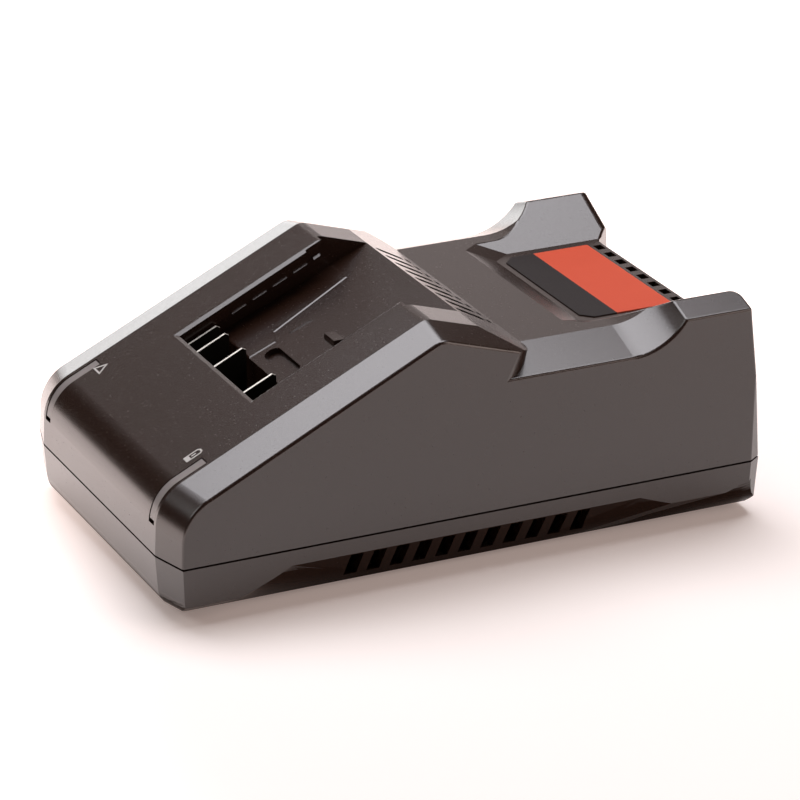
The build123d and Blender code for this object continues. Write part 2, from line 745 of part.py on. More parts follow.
with BuildPart() as upper_housing:
    add(upper_envelope.part)
    # hollow inside
    nose_space = front_block(WALL, UPPER_BASE - 2 * WALL) - side_drafts(WALL)
    add(nose_space & shoulder_block(WALL), mode=Mode.SUBTRACT)
    deck_space_start = along(DECK_START - 2 * WALL)
    panel_start = before_rear(PANEL_FRONT_SETBACK + PANEL_FRONT_RUN + WALL)
    add(deck_space(DECK_HEIGHT - WALL, deck_space_start, panel_start), mode=Mode.SUBTRACT)
    add(deck_space(PANEL_HEIGHT - WALL, deck_space_start, INLET_Y - WALL), mode=Mode.SUBTRACT)
    add(ear_space(), mode=Mode.SUBTRACT)
    add(corner_space(), mode=Mode.SUBTRACT)
    # casing of the battery channel, and the screw bosses
    add(channel_casing.part)
    add(upper_bosses.part)
    add(channel_void.part, mode=Mode.SUBTRACT)
    add(channel_rim.part, mode=Mode.SUBTRACT)
    # guide teeth along the foot of each rail
    for index in range(TOOTH_COUNT):
        tooth = TOOTH_STATION + index * TOOTH_PITCH
        tooth_run = min(TOOTH_LENGTH, RIDGE_STATION - 1 - tooth)
        foot = slope_height(tooth) - LIP_THICKNESS
        for side in (-1, 1):
            inner = side * (LIP_HALF + 2 * RAIL_END_STEP)
            tip = side * (LIP_HALF - TOOTH_STICK_OUT)
            with BuildSketch(Plane.XZ.offset(-along(tooth))) as tooth_end:
                with BuildLine():
                    Polyline(
                        (inner, foot),
                        (tip, foot),
                        (tip, foot + TOOTH_EDGE),
                        (side * LIP_HALF, foot + TOOTH_EDGE + TOOTH_RISE),
                        (inner, foot + TOOTH_EDGE + TOOTH_RISE),
                        close=True,
                    )
                make_face()
            extrude(amount=tooth_run * math.hypot(1, SLOPE_RISE), dir=(0, 1, SLOPE_RISE))
    # moulded details of the channel floor
    floor_plane = Plane(
        origin=(0, along(PIT_END_STATION), channel_floor_height(PIT_END_STATION)),
        x_dir=(1, 0, 0),
        z_dir=(0, -CHANNEL_FLOOR_RISE, 1),
    )
    with BuildSketch(floor_plane):
        with BuildLine():
            Polyline(
                (-PLATEAU_FRONT_X, 0),
                (-PLATEAU_FRONT_X, up_floor(PLATEAU_WAIST_STATION)),
                (-PLATEAU_WAIST_X, up_floor(PLATEAU_WAIST_STATION + 2)),
                (-PLATEAU_REAR_X, up_floor(PLATEAU_END_STATION)),
                (-GROOVE_HALF, up_floor(PLATEAU_END_STATION)),
                (-GROOVE_HALF, 0),
                close=True,
            )
        make_face()
    extrude(amount=PLATEAU_HEIGHT, taper=PLATEAU_TAPER)
    with BuildSketch(floor_plane):
        with Locations((RECESS_START_X + RECESS_LENGTH / 2, up_floor(RECESS_STATION))):
            SlotOverall(RECESS_LENGTH, RECESS_WIDTH)
    extrude(amount=-RECESS_DEPTH, mode=Mode.SUBTRACT)
    stop_rear = STOP_STATION + STOP_WIDTH / 2
    with BuildSketch(Plane.XY.offset(channel_floor_height(stop_rear) + STOP_HEIGHT)):
        with Locations((STOP_X, along(STOP_STATION))):
            Rectangle(STOP_LENGTH, STOP_WIDTH)
    extrude(amount=-STOP_HEIGHT - STOP_WIDTH * CHANNEL_FLOOR_RISE - 0.5)
    with BuildSketch(floor_plane):
        with Locations((RIB_X, up_floor(RIB_STATION) + RIB_LENGTH / 2)):
            Rectangle(RIB_WIDTH, RIB_LENGTH)
    extrude(amount=RIB_HEIGHT, taper=RIB_TAPER)
    # opening in the floor of the contact pit
    pit_middle = (CHANNEL_STATION + PIT_END_STATION) / 2
    blade_middle = (BLADES[0][1] + BLADES[-1][1]) / 2
    tower_half = (BLADES[-1][1] - BLADES[0][1]) / 2 + TOWER_MARGIN
    tower_depth = BLADE_REAR_STATION - BLADE_FRONT_STATION + TOWER_CLEARANCE
    with BuildSketch(Plane.XY.offset(PIT_FLOOR - WALL - 1)):
        with Locations((blade_middle, along(pit_middle))):
            Rectangle(2 * (tower_half + FIT), tower_depth + 2 * FIT)
    extrude(amount=WALL + 2, mode=Mode.SUBTRACT)
    # slits down the vent facet, each with a short tail past a bridge
    with BuildSketch(Plane.XY.offset(UPPER_BASE + WALL)):
        for index in range(SLIT_COUNT):
            x = (index - (SLIT_COUNT - 1) / 2) * SLIT_PITCH
            slit_start = along(RIDGE_STATION + SHOULDER_RUN + SLIT_START)
            with Locations((x, slit_start + SLIT_RUN / 2)):
                SlotOverall(SLIT_RUN, SLIT_WIDTH, rotation=90)
            with Locations((x, slit_start + SLIT_RUN + SLIT_BRIDGE + SLIT_TAIL / 2)):
                Rectangle(SLIT_WIDTH, SLIT_TAIL)
    extrude(amount=SKY, mode=Mode.SUBTRACT)
    # row of holes along the rear edge of the panel
    with BuildSketch(Plane.XY.offset(PANEL_HEIGHT - WALL - 1)):
        with Locations((0, before_rear(HOLE_SETBACK))):
            with GridLocations(HOLE_PITCH, 1, HOLE_COUNT, 1):
                Rectangle(HOLE_X, HOLE_Y)
    extrude(amount=WALL + 2, mode=Mode.SUBTRACT)
    # slots for the light pipes, round the nose
    pipe_slot_start = along(-1)
    pipe_slot_end = along(PIPE_TOP_STATION) + PIPE_FIT
    with BuildSketch(Plane.XY.offset(PIPE_FOOT_HEIGHT - PIPE_SLOT_SILL)):
        for side in (-1, 1):
            with Locations((side * (HALF_WIDTH - PIPE_INSET), (pipe_slot_start + pipe_slot_end) / 2)):
                Rectangle(PIPE_WIDTH + 2 * PIPE_FIT, pipe_slot_end - pipe_slot_start)
    extrude(amount=SKY, mode=Mode.SUBTRACT)
    # groove for the tongue of the lower shell
    with BuildSketch(Plane.XY.offset(UPPER_BASE)):
        add(plan_outline(TONGUE_INSET - TONGUE_FIT))
    extrude(amount=TONGUE_TOP - UPPER_BASE, mode=Mode.SUBTRACT)
    # pilot holes for the housing screws
    with BuildSketch(Plane.XY.offset(TONGUE_TOP)):
        with Locations(*boss_places()):
            Circle(SCREW_RADIUS + SNUG)
    extrude(amount=HOUSING_SCREW_LENGTH, mode=Mode.SUBTRACT)
    # round opening for the cord inlet
    with BuildSketch(Plane.XZ.offset(-INLET_Y - 1)):
        with Locations((INLET_X, PARTING_HEIGHT)):
            Circle(BUSHING_NECK + SNUG)
    extrude(amount=WALL + 2, mode=Mode.SUBTRACT)
upper_housing.part.label = "upper_housing"
export_step(upper_housing.part, "parts/upper_housing.step")

# ---------------------------------------------------------------- lower housing
COUNTERBORE_TOP = FLOOR_UNDERSIDE + COUNTERBORE_DEPTH


def undercut(side):
    """Space below one tucked-in lower side, with the arch between the feet."""
    outer = [
        (-2.0, FRONT_FOOT_HEIGHT),
        (ARCH_RISE_STATION, FRONT_FOOT_HEIGHT),
        (ARCH_STATION, ARCH_HEIGHT),
        (LENGTH - ARCH_END_SETBACK, ARCH_HEIGHT),
        (LENGTH - REAR_FOOT_SETBACK, REAR_FOOT_HEIGHT),
        (LENGTH - TAIL_SETBACK, REAR_FOOT_HEIGHT),
        (LENGTH + 2.0, TAIL_HEIGHT),
    ]
    low = -6.0
    with BuildPart() as space:
        with BuildSketch(Plane.YZ.offset(side * HALF_WIDTH)) as wide:
            with BuildLine():
                points = [(along(station), height) for station, height in outer]
                Polyline((along(-2.0), low), *points, (along(LENGTH + 2.0), low), close=True)
            make_face()
        with BuildSketch(Plane.YZ.offset(side * (HALF_WIDTH - UNDERCUT_WIDTH))) as narrow:
            with BuildLine():
                points = [(along(station), FLOOR_UNDERSIDE) for station, height in outer]
                Polyline((along(-2.0), low), *points, (along(LENGTH + 2.0), low), close=True)
            make_face()
        loft(sections=[wide.sketch.face(), narrow.sketch.face()], ruled=True)
        with BuildSketch(Plane.YZ.offset(side * HALF_WIDTH)):
            with BuildLine():
                points = [(along(station), height) for station, height in outer]
                Polyline((along(-2.0), low), *points, (along(LENGTH + 2.0), low), close=True)
            make_face()
        extrude(amount=side * 2.0)
    return space.part


with BuildPart() as tray_space:
    tray_half = HALF_WIDTH - UNDERCUT_WIDTH - TRAY_MARGIN
    wall_x = HALF_WIDTH - WALL
    with BuildSketch(Plane.XZ.offset(-HALF_LENGTH)):
        with BuildLine():
            Polyline(
                (-wall_x, LOWER_TOP + 1),
                (-wall_x, ARCH_HEIGHT + 1),
                (-tray_half, FLOOR_TOP),
                (tray_half, FLOOR_TOP),
                (wall_x, ARCH_HEIGHT + 1),
                (wall_x, LOWER_TOP + 1),
                close=True,
            )
        make_face()
    extrude(amount=LENGTH)
    with BuildSketch(Plane.XY.offset(FLOOR_TOP)):
        add(plan_outline(WALL + 1))
    extrude(amount=LOWER_TOP, mode=Mode.INTERSECT)

with BuildPart() as lower_housing:
    with BuildSketch(Plane.XY.offset(LOWER_TOP)):
        add(plan_outline(0.0))
    extrude(amount=-(LOWER_TOP - FLOOR_UNDERSIDE), taper=LOWER_TAPER)
    underside_edges = lower_housing.faces().sort_by(Axis.Z)[0].edges()
    front_edges = underside_edges.filter_by(lambda edge: edge.center().Y < along(CORNER_SET + 4))
    fillet(front_edges, LOWER_EDGE_RADIUS)
    for side in (-1, 1):
        add(undercut(side), mode=Mode.SUBTRACT)
    # hollow inside, tucked in to match the underside
    add(tray_space.part, mode=Mode.SUBTRACT)
    # tongue that fits inside the upper shell
    with BuildSketch(Plane.XY.offset(LOWER_TOP)):
        add(plan_outline(TONGUE_INSET))
        add(plan_outline(WALL + 1), mode=Mode.SUBTRACT)
    extrude(amount=TONGUE_TOP - LOWER_TOP)
    # screw bosses, board posts and the wall-hanging pockets
    with BuildSketch(Plane.XY.offset(FLOOR_TOP - 0.5)):
        with Locations(*boss_places()):
            Circle(BOSS_RADIUS)
    extrude(amount=TONGUE_TOP - FLOOR_TOP + 0.5)
    with BuildSketch(Plane.XY.offset(FLOOR_TOP - 0.5)):
        with Locations(*post_places()):
            Circle(POST_RADIUS)
    extrude(amount=BOARD_UNDERSIDE - FLOOR_TOP + 0.5)
    keyhole_places = [(0, along(station)) for station in KEYHOLE_STATIONS]
    keyhole_length = 2 * KEYHOLE_HEAD_RADIUS + KEYHOLE_TRAVEL
    with BuildSketch(Plane.XY.offset(FLOOR_TOP - 0.5)):
        with Locations(*[(x, y + KEYHOLE_TRAVEL / 2) for x, y in keyhole_places]):
            Rectangle(2 * (KEYHOLE_HEAD_RADIUS + KEYHOLE_WALL), keyhole_length + 2 * KEYHOLE_WALL)
    extrude(amount=KEYHOLE_SPACE + KEYHOLE_ROOF + 0.5 - KEYHOLE_RELIEF)
    # saddle and posts of the cord clamp
    clamp_y = INLET_Y - WALL - CLAMP_SETBACK
    clamp_screw_places = [(INLET_X + side * CLAMP_SCREW_X, clamp_y) for side in (-1, 1)]
    saddle_top = PARTING_HEIGHT - CORD_RADIUS - FIT
    clamp_seat = PARTING_HEIGHT + CLAMP_SEAT
    with BuildSketch(Plane.XY.offset(FLOOR_TOP - 0.5)):
        with Locations((INLET_X, clamp_y)):
            Rectangle(SADDLE_LENGTH, SADDLE_WIDTH)
    extrude(amount=saddle_top - FLOOR_TOP + 0.5)
    with BuildSketch(Plane.XY.offset(FLOOR_TOP - 0.5)):
        with Locations(*clamp_screw_places):
            Circle(CLAMP_POST_RADIUS)
    extrude(amount=clamp_seat - FLOOR_TOP + 0.5)
    # louvres along both tucked-in sides
    louvre_foot = FLOOR_TOP + LOUVRE_SILL
    louvre_top = ARCH_HEIGHT - LOUVRE_HEADER
    with BuildSketch(Plane.XY.offset(louvre_foot)):
        louvre_middle = along(LOUVRE_STATION + LOUVRE_PITCH * (LOUVRE_COUNT - 1) / 2)
        louvre_centre = HALF_WIDTH - UNDERCUT_WIDTH / 2
        with Locations((-louvre_centre, louvre_middle), (louvre_centre, louvre_middle)):
            with GridLocations(1, LOUVRE_PITCH, 1, LOUVRE_COUNT):
                Rectangle(2 * UNDERCUT_WIDTH, LOUVRE_WIDTH)
    extrude(amount=louvre_top - louvre_foot, mode=Mode.SUBTRACT)
    # holes for the housing screws, with their counterbores
    with BuildSketch(Plane.XY):
        with Locations(*boss_places()):
            Circle(SCREW_CLEARANCE)
    extrude(amount=TONGUE_TOP + 1, mode=Mode.SUBTRACT)
    with BuildSketch(Plane.XY):
        with Locations(*boss_places()):
            Circle(HOUSING_HEAD_RADIUS + COUNTERBORE_FIT)
    extrude(amount=COUNTERBORE_TOP, mode=Mode.SUBTRACT)
    # pilot holes in the board posts and the clamp posts
    with BuildSketch(Plane.XY.offset(FLOOR_TOP)):
        with Locations(*post_places()):
            Circle(SCREW_RADIUS + SNUG)
    extrude(amount=BOARD_UNDERSIDE, mode=Mode.SUBTRACT)
    with BuildSketch(Plane.XY.offset(clamp_seat + 1)):
        with Locations(*clamp_screw_places):
            Circle(SCREW_RADIUS + SNUG)
    extrude(amount=-CLAMP_SCREW_REACH - 2, mode=Mode.SUBTRACT)
    # seats for the rubber feet
    with BuildSketch(Plane.XY):
        with Locations(*foot_places()):
            Circle(FOOT_RADIUS + SNUG)
    extrude(amount=FLOOR_UNDERSIDE + FOOT_SEAT_DEPTH, mode=Mode.SUBTRACT)
    # keyholes: round entry, narrow neck, and the space for a screw head behind it
    with BuildSketch(Plane.XY):
        for x, y in keyhole_places:
            with Locations((x, y)):
                Circle(KEYHOLE_HEAD_RADIUS)
            with Locations((x, y + KEYHOLE_TRAVEL / 2)):
                Rectangle(KEYHOLE_NECK, KEYHOLE_TRAVEL)
            with Locations((x, y + KEYHOLE_TRAVEL)):
                Circle(KEYHOLE_NECK / 2)
    extrude(amount=FLOOR_TOP, mode=Mode.SUBTRACT)
    with BuildSketch(Plane.XY.offset(FLOOR_TOP - KEYHOLE_RELIEF)):
        with Locations(*[(x, y + KEYHOLE_TRAVEL / 2) for x, y in keyhole_places]):
            SlotOverall(keyhole_length, 2 * KEYHOLE_HEAD_RADIUS, rotation=90)
    extrude(amount=KEYHOLE_SPACE, mode=Mode.SUBTRACT)
    # round opening for the cord inlet
    with BuildSketch(Plane.XZ.offset(-INLET_Y - 1)):
        with Locations((INLET_X, PARTING_HEIGHT)):
            Circle(BUSHING_NECK + SNUG)
    extrude(amount=WALL + 3, mode=Mode.SUBTRACT)
    with BuildSketch(Plane.XZ.offset(-INLET_Y + WALL)):
        with Locations((INLET_X, PARTING_HEIGHT)):
            Circle(BUSHING_FLANGE + FIT)
    extrude(amount=BUSHING_FLANGE_THICKNESS + 1, mode=Mode.SUBTRACT)
lower_housing.part.label = "lower_housing"
export_step(lower_housing.part, "parts/lower_housing.step")

# ---------------------------------------------------------------- outside trim
for pipe_name, side in (("light_pipe_left", -1), ("light_pipe_right", 1)):
    pipe_x = side * (HALF_WIDTH - PIPE_INSET)
    led_top = BOARD_TOP + 2.0
    with BuildPart() as light_pipe:
        add(front_block(PIPE_SINK, UPPER_BASE - WALL))
        add(front_block(PIPE_THICKNESS, UPPER_BASE - 2 * PIPE_THICKNESS), mode=Mode.SUBTRACT)
        # keep the curved strip that lies in the slot
        with BuildSketch(Plane.XY.offset(PIPE_FOOT_HEIGHT)):
            with Locations((pipe_x, along(PIPE_TOP_STATION / 2 - 1))):
                Rectangle(PIPE_WIDTH, PIPE_TOP_STATION + 2)
        extrude(amount=SKY, mode=Mode.INTERSECT)
    with BuildPart() as pipe_leg:
        with BuildSketch(Plane.XY.offset(led_top + FIT)):
            with Locations((pipe_x, along(PIPE_LEG_STATION))):
                Rectangle(PIPE_LEG, PIPE_LEG)
        extrude(amount=SKY)
        add(front_block(1.0, UPPER_BASE - HEIGHT), mode=Mode.INTERSECT)
    with BuildPart() as whole_pipe:
        add(light_pipe.part)
        add(pipe_leg.part)
    whole_pipe.part.label = pipe_name
    export_step(whole_pipe.part, f"parts/{pipe_name}.step")

with BuildPart() as label_film:
    film_rear = before_rear(FILM_REAR_SETBACK)
    film_front = before_rear(FILM_FRONT_SETBACK)
    with BuildSketch(Plane.XY.offset(PANEL_HEIGHT)) as film_plan:
        with Locations((0, (film_rear + film_front) / 2)):
            Rectangle(FILM_WIDTH, film_rear - film_front)
        chamfer(film_plan.vertices().group_by(Axis.Y)[0], FILM_CORNER)
        fillet(film_plan.vertices().group_by(Axis.Y)[-1], FILM_REAR_RADIUS)
    extrude(amount=FILM_THICKNESS)
label_film.part.label = "label_film"
export_step(label_film.part, "parts/label_film.step")

with BuildPart() as rubber_feet:
    with BuildSketch(Plane.XY):
        with Locations(*foot_places()):
            Circle(FOOT_RADIUS)
    extrude(amount=FLOOR_UNDERSIDE + FOOT_SEAT_DEPTH)
    chamfer(rubber_feet.faces().filter_by(Plane.XY).group_by(Axis.Z)[0].edges(), FOOT_CHAMFER)
rubber_feet.part.label = "rubber_feet"
export_step(rubber_feet.part, "parts/rubber_feet.step")

with BuildPart() as housing_screws:
    for x, y in boss_places():
        with BuildSketch(Plane.XY.offset(COUNTERBORE_TOP - HOUSING_HEAD_HEIGHT)):
            with Locations((x, y)):
                Circle(HOUSING_HEAD_RADIUS)
        extrude(amount=HOUSING_HEAD_HEIGHT)
        with BuildSketch(Plane.XY.offset(COUNTERBORE_TOP - HOUSING_HEAD_HEIGHT)):
            with Locations((x, y)):
                RegularPolygon(HEX_RADIUS, 6)
        extrude(amount=HEX_DEPTH, mode=Mode.SUBTRACT)
        with BuildSketch(Plane.XY.offset(COUNTERBORE_TOP)):
            with Locations((x, y)):
                Circle(SCREW_RADIUS)
        extrude(amount=HOUSING_SCREW_LENGTH)
housing_screws.part.label = "housing_screws"
export_step(housing_screws.part, "parts/housing_screws.step")

# ---------------------------------------------------------------- circuit board and contacts
board_front = along(BOARD_FRONT_STATION)
board_rear = before_rear(BOARD_REAR_SETBACK)
board_half = HALF_WIDTH - BOARD_INSET
with BuildPart() as circuit_board:
    with BuildSketch(Plane.XY.offset(BOARD_UNDERSIDE)) as board_plan:
        with Locations((0, (board_front + board_rear) / 2)):
            Rectangle(2 * board_half, board_rear - board_front)
        chamfer(board_plan.vertices(), 1.5)
        with Locations(*boss_places()):
            Circle(BOSS_RADIUS + 0.8, mode=Mode.SUBTRACT)
        with Locations(*post_places()):
            Circle(SCREW_CLEARANCE, mode=Mode.SUBTRACT)
        blade_centre = along((BLADE_FRONT_STATION + BLADE_REAR_STATION) / 2)
        with Locations(*[(x, blade_centre) for name, x in BLADES]):
            Rectangle(BLADE_THICKNESS + 2 * SNUG, BLADE_TAIL_WIDTH + 2 * SNUG, mode=Mode.SUBTRACT)
    extrude(amount=BOARD_THICKNESS)
circuit_board.part.label = "circuit_board"
export_step(circuit_board.part, "parts/circuit_board.step")

with BuildPart() as board_screws:
    for x, y in post_places():
        with BuildSketch(Plane.XY.offset(BOARD_TOP)):
            with Locations((x, y)):
                Circle(BOARD_HEAD_RADIUS)
        extrude(amount=BOARD_HEAD_HEIGHT)
        with BuildSketch(Plane.XY.offset(BOARD_TOP + BOARD_HEAD_HEIGHT - CROSS_DEPTH)):
            with Locations((x, y)):
                Rectangle(CROSS_LENGTH, CROSS_WIDTH)
                Rectangle(CROSS_WIDTH, CROSS_LENGTH)
        extrude(amount=CROSS_DEPTH, mode=Mode.SUBTRACT)
        with BuildSketch(Plane.XY.offset(BOARD_TOP)):
            with Locations((x, y)):
                Circle(SCREW_RADIUS)
        extrude(amount=-BOARD_SCREW_LENGTH)
board_screws.part.label = "board_screws"
export_step(board_screws.part, "parts/board_screws.step")

with BuildPart() as insulating_sheet:
    sheet_start = along(KEYHOLE_STATIONS[0]) + KEYHOLE_TRAVEL + KEYHOLE_HEAD_RADIUS + 3
    sheet_end = along(KEYHOLE_STATIONS[1]) - KEYHOLE_HEAD_RADIUS - 3
    sheet_half = HALF_WIDTH - POST_INSET - POST_RADIUS - 1
    with BuildSketch(Plane.XY.offset(FLOOR_TOP)):
        with Locations((0, (sheet_start + sheet_end) / 2)):
            Rectangle(2 * sheet_half, sheet_end - sheet_start)
    extrude(amount=0.5)
insulating_sheet.part.label = "insulating_sheet"
export_step(insulating_sheet.part, "parts/insulating_sheet.step")

# The contact tower stands on the board and comes up through the pit floor.
with BuildPart() as contact_tower:
    with BuildSketch(Plane.XY.offset(BOARD_TOP)) as tower_plan:
        with Locations((blade_middle, along(pit_middle))):
            Rectangle(2 * tower_half, tower_depth)
        fillet(tower_plan.vertices(), TOWER_CORNER)
    extrude(amount=PIT_FLOOR - BOARD_TOP)
    with BuildSketch(Plane.XY.offset(BOARD_TOP)):
        with Locations((blade_middle, along(pit_middle))):
            Rectangle(2 * (tower_half - TOWER_WALL), tower_depth - 2 * TOWER_WALL)
    extrude(amount=PIT_FLOOR - BOARD_TOP - TOWER_ROOF, mode=Mode.SUBTRACT)
    with BuildSketch(Plane.XY.offset(PIT_FLOOR - TOWER_ROOF)):
        with Locations(*[(x, blade_centre) for name, x in BLADES]):
            Rectangle(BLADE_THICKNESS + 2 * SNUG, BLADE_TAIL_WIDTH + 2 * (BLADE_SHOULDER + SNUG))
    extrude(amount=TOWER_ROOF, mode=Mode.SUBTRACT)
contact_tower.part.label = "contact_tower"
export_step(contact_tower.part, "parts/contact_tower.step")

for blade_name, x in BLADES:
    tail_half = BLADE_TAIL_WIDTH / 2
    neck_half = tail_half + BLADE_SHOULDER
    rear_top = slope_height(BLADE_REAR_STATION) - BLADE_DEPTH
    with BuildPart() as blade:
        with BuildSketch(Plane.YZ.offset(x - BLADE_THICKNESS / 2)):
            with BuildLine():
                Polyline(
                    (blade_centre - tail_half, BOARD_UNDERSIDE - BLADE_STICK_OUT),
                    (blade_centre + tail_half, BOARD_UNDERSIDE - BLADE_STICK_OUT),
                    (blade_centre + tail_half, BOARD_TOP),
                    (blade_centre + neck_half, BOARD_TOP),
                    (blade_centre + neck_half, PIT_FLOOR),
                    (along(BLADE_REAR_STATION), PIT_FLOOR),
                    (along(BLADE_REAR_STATION), rear_top - BLADE_CHAMFER),
                    (along(BLADE_REAR_STATION) - BLADE_CHAMFER, rear_top - BLADE_CHAMFER / 2),
                    (along(BLADE_FRONT_STATION), slope_height(BLADE_FRONT_STATION) - BLADE_DEPTH),
                    (along(BLADE_FRONT_STATION), PIT_FLOOR),
                    (blade_centre - neck_half, PIT_FLOOR),
                    (blade_centre - neck_half, BOARD_TOP),
                    (blade_centre - tail_half, BOARD_TOP),
                    close=True,
                )
            make_face()
        extrude(amount=BLADE_THICKNESS)
    blade.part.label = blade_name
    export_step(blade.part, f"parts/{blade_name}.step")

# ---------------------------------------------------------------- cord inlet
with BuildPart() as cord_bushing:
    neck_start = INLET_Y - WALL - SNUG
    neck_end = INLET_Y + SNUG
    flange_start = neck_start - BUSHING_FLANGE_THICKNESS
    flange_end = neck_end + BUSHING_FLANGE_THICKNESS
    with BuildSketch(Plane(origin=(INLET_X, 0, PARTING_HEIGHT), x_dir=(1, 0, 0), z_dir=(0, 0, 1))):
        with BuildLine():
            Polyline(
                (CORD_RADIUS, flange_start),
                (BUSHING_FLANGE, flange_start),
                (BUSHING_FLANGE, neck_start),
                (BUSHING_NECK, neck_start),
                (BUSHING_NECK, neck_end),
                (BUSHING_FLANGE, neck_end),
                (BUSHING_FLANGE, flange_end),
                (BUSHING_NECK, flange_end + BUSHING_NOSE),
                (CORD_RADIUS, flange_end + BUSHING_NOSE),
                close=True,
            )
        make_face()
    revolve(axis=Axis((INLET_X, 0, PARTING_HEIGHT), (0, 1, 0)))
cord_bushing.part.label = "cord_bushing"
export_step(cord_bushing.part, "parts/cord_bushing.step")

with BuildPart() as cord_clamp:
    with BuildSketch(Plane.XY.offset(clamp_seat)) as clamp_plan:
        with Locations((INLET_X, clamp_y)):
            Rectangle(CLAMP_LENGTH, CLAMP_WIDTH)
        fillet(clamp_plan.vertices(), CLAMP_CORNER)
    extrude(amount=CLAMP_HEIGHT)
    with BuildSketch(Plane.XZ.offset(-clamp_y - CLAMP_WIDTH)):
        with Locations((INLET_X, PARTING_HEIGHT)):
            Circle(CORD_RADIUS + 2 * SNUG)
    extrude(amount=2 * CLAMP_WIDTH, mode=Mode.SUBTRACT)
    with BuildSketch(Plane.XY.offset(clamp_seat)):
        with Locations(*clamp_screw_places):
            Circle(SCREW_CLEARANCE)
    extrude(amount=CLAMP_HEIGHT, mode=Mode.SUBTRACT)
cord_clamp.part.label = "cord_clamp"
export_step(cord_clamp.part, "parts/cord_clamp.step")

with BuildPart() as clamp_screws:
    clamp_top = clamp_seat + CLAMP_HEIGHT
    for x, y in clamp_screw_places:
        with BuildSketch(Plane.XY.offset(clamp_top)):
            with Locations((x, y)):
                Circle(BOARD_HEAD_RADIUS)
        extrude(amount=BOARD_HEAD_HEIGHT)
        with BuildSketch(Plane.XY.offset(clamp_top + BOARD_HEAD_HEIGHT - CROSS_DEPTH)):
            with Locations((x, y)):
                Rectangle(CROSS_LENGTH, CROSS_WIDTH)
                Rectangle(CROSS_WIDTH, CROSS_LENGTH)
        extrude(amount=CROSS_DEPTH, mode=Mode.SUBTRACT)
        with BuildSketch(Plane.XY.offset(clamp_top)):
            with Locations((x, y)):
                Circle(SCREW_RADIUS)
        extrude(amount=-CLAMP_HEIGHT - CLAMP_SCREW_REACH)
clamp_screws.part.label = "clamp_screws"
export_step(clamp_screws.part, "parts/clamp_screws.step")

# ---------------------------------------------------------------- power electronics
# Stations along the board, from the nose
SENSE_STATION = 62.0
OUTPUT_STATION = 76.0
COUPLER_STATION = 93.0
TRANSFORMER_STATION = 112.0
BULK_STATION = 134.0
CHOKE_STATION = 143.0
INLET_STATION = 157.0
SINK_INSET = 19.0           # side wall to the heat sink plates
SINK_THICKNESS = 2.0
SINK_HEIGHT = 26.0
SINK_FOOT = 2.0
SINK_FOLD = 6.0
CRIMP_HEIGHT = 2.5          # groove near the foot of a capacitor can
CRIMP_DEPTH = 0.6
DEVICE_LEG = 5.0            # power packages: legs, body and tab
DEVICE_DEPTH = 4.5
DEVICE_WIDTH = 10.2
DEVICE_BODY = 9.2
DEVICE_TAB = 6.2
DEVICE_TAB_THICKNESS = 1.3
LEAD_RADIUS = 0.4

core_x = -4.0
core_y = along(TRANSFORMER_STATION)
core_foot = BOARD_TOP + 3.0
core_width = 34.0
core_height = 29.0
core_depth = 11.0
window_width = 6.5
window_height = 18.0
leg_half = 5.0
window_foot = core_foot + (core_height - window_height) / 2

with BuildPart() as transformer_core:
    with BuildSketch(Plane.XZ.offset(-core_y - core_depth / 2)):
        with Locations((core_x, core_foot + core_height / 2)):
            Rectangle(core_width, core_height)
            with Locations((-leg_half - window_width / 2, 0), (leg_half + window_width / 2, 0)):
                Rectangle(window_width, window_height, mode=Mode.SUBTRACT)
    extrude(amount=core_depth)
transformer_core.part.label = "transformer_core"
export_step(transformer_core.part, "parts/transformer_core.step")

bobbin_half_x = leg_half + window_width - FIT
bobbin_half_y = core_depth / 2 + window_width - FIT
flange = 1.2
with BuildPart() as transformer_bobbin:
    with BuildSketch(Plane.XY.offset(window_foot + SNUG)):
        with Locations((core_x, core_y)):
            Rectangle(2 * bobbin_half_x, 2 * bobbin_half_y)
    extrude(amount=window_height - 2 * SNUG)
    with BuildSketch(Plane.XY.offset(window_foot + flange)) as spool:
        with Locations((core_x, core_y)):
            Rectangle(2 * bobbin_half_x + 1, 2 * bobbin_half_y + 1)
            Rectangle(2 * leg_half + 2.4, core_depth + 2.4, mode=Mode.SUBTRACT)
    extrude(amount=window_height - 2 * flange, mode=Mode.SUBTRACT)
    # pin strips under both ends reach the board
    for side in (-1, 1):
        with BuildSketch(Plane.XY.offset(BOARD_TOP)):
            with Locations((core_x, core_y + side * (bobbin_half_y - 2))):
                Rectangle(2 * bobbin_half_x, 4)
        extrude(amount=window_foot - BOARD_TOP + flange)
    with BuildSketch(Plane.XY.offset(BOARD_TOP)):
        with Locations((core_x, core_y)):
            Rectangle(2 * leg_half + 2 * SNUG, core_depth + 2 * SNUG)
    extrude(amount=core_height + 5, mode=Mode.SUBTRACT)
transformer_bobbin.part.label = "transformer_bobbin"
export_step(transformer_bobbin.part, "parts/transformer_bobbin.step")

with BuildPart() as transformer_winding:
    with BuildSketch(Plane.XY.offset(window_foot + flange + SNUG)) as coil:
        with Locations((core_x, core_y)):
            Rectangle(2 * bobbin_half_x - 0.8, 2 * bobbin_half_y - 0.8)
        fillet(coil.vertices(), 3.0)
        with Locations((core_x, core_y)):
            Rectangle(2 * leg_half + 2.4 + 2 * SNUG, core_depth + 2.4 + 2 * SNUG, mode=Mode.SUBTRACT)
    extrude(amount=window_height - 2 * flange - 2 * SNUG)
transformer_winding.part.label = "transformer_winding"
export_step(transformer_winding.part, "parts/transformer_winding.step")


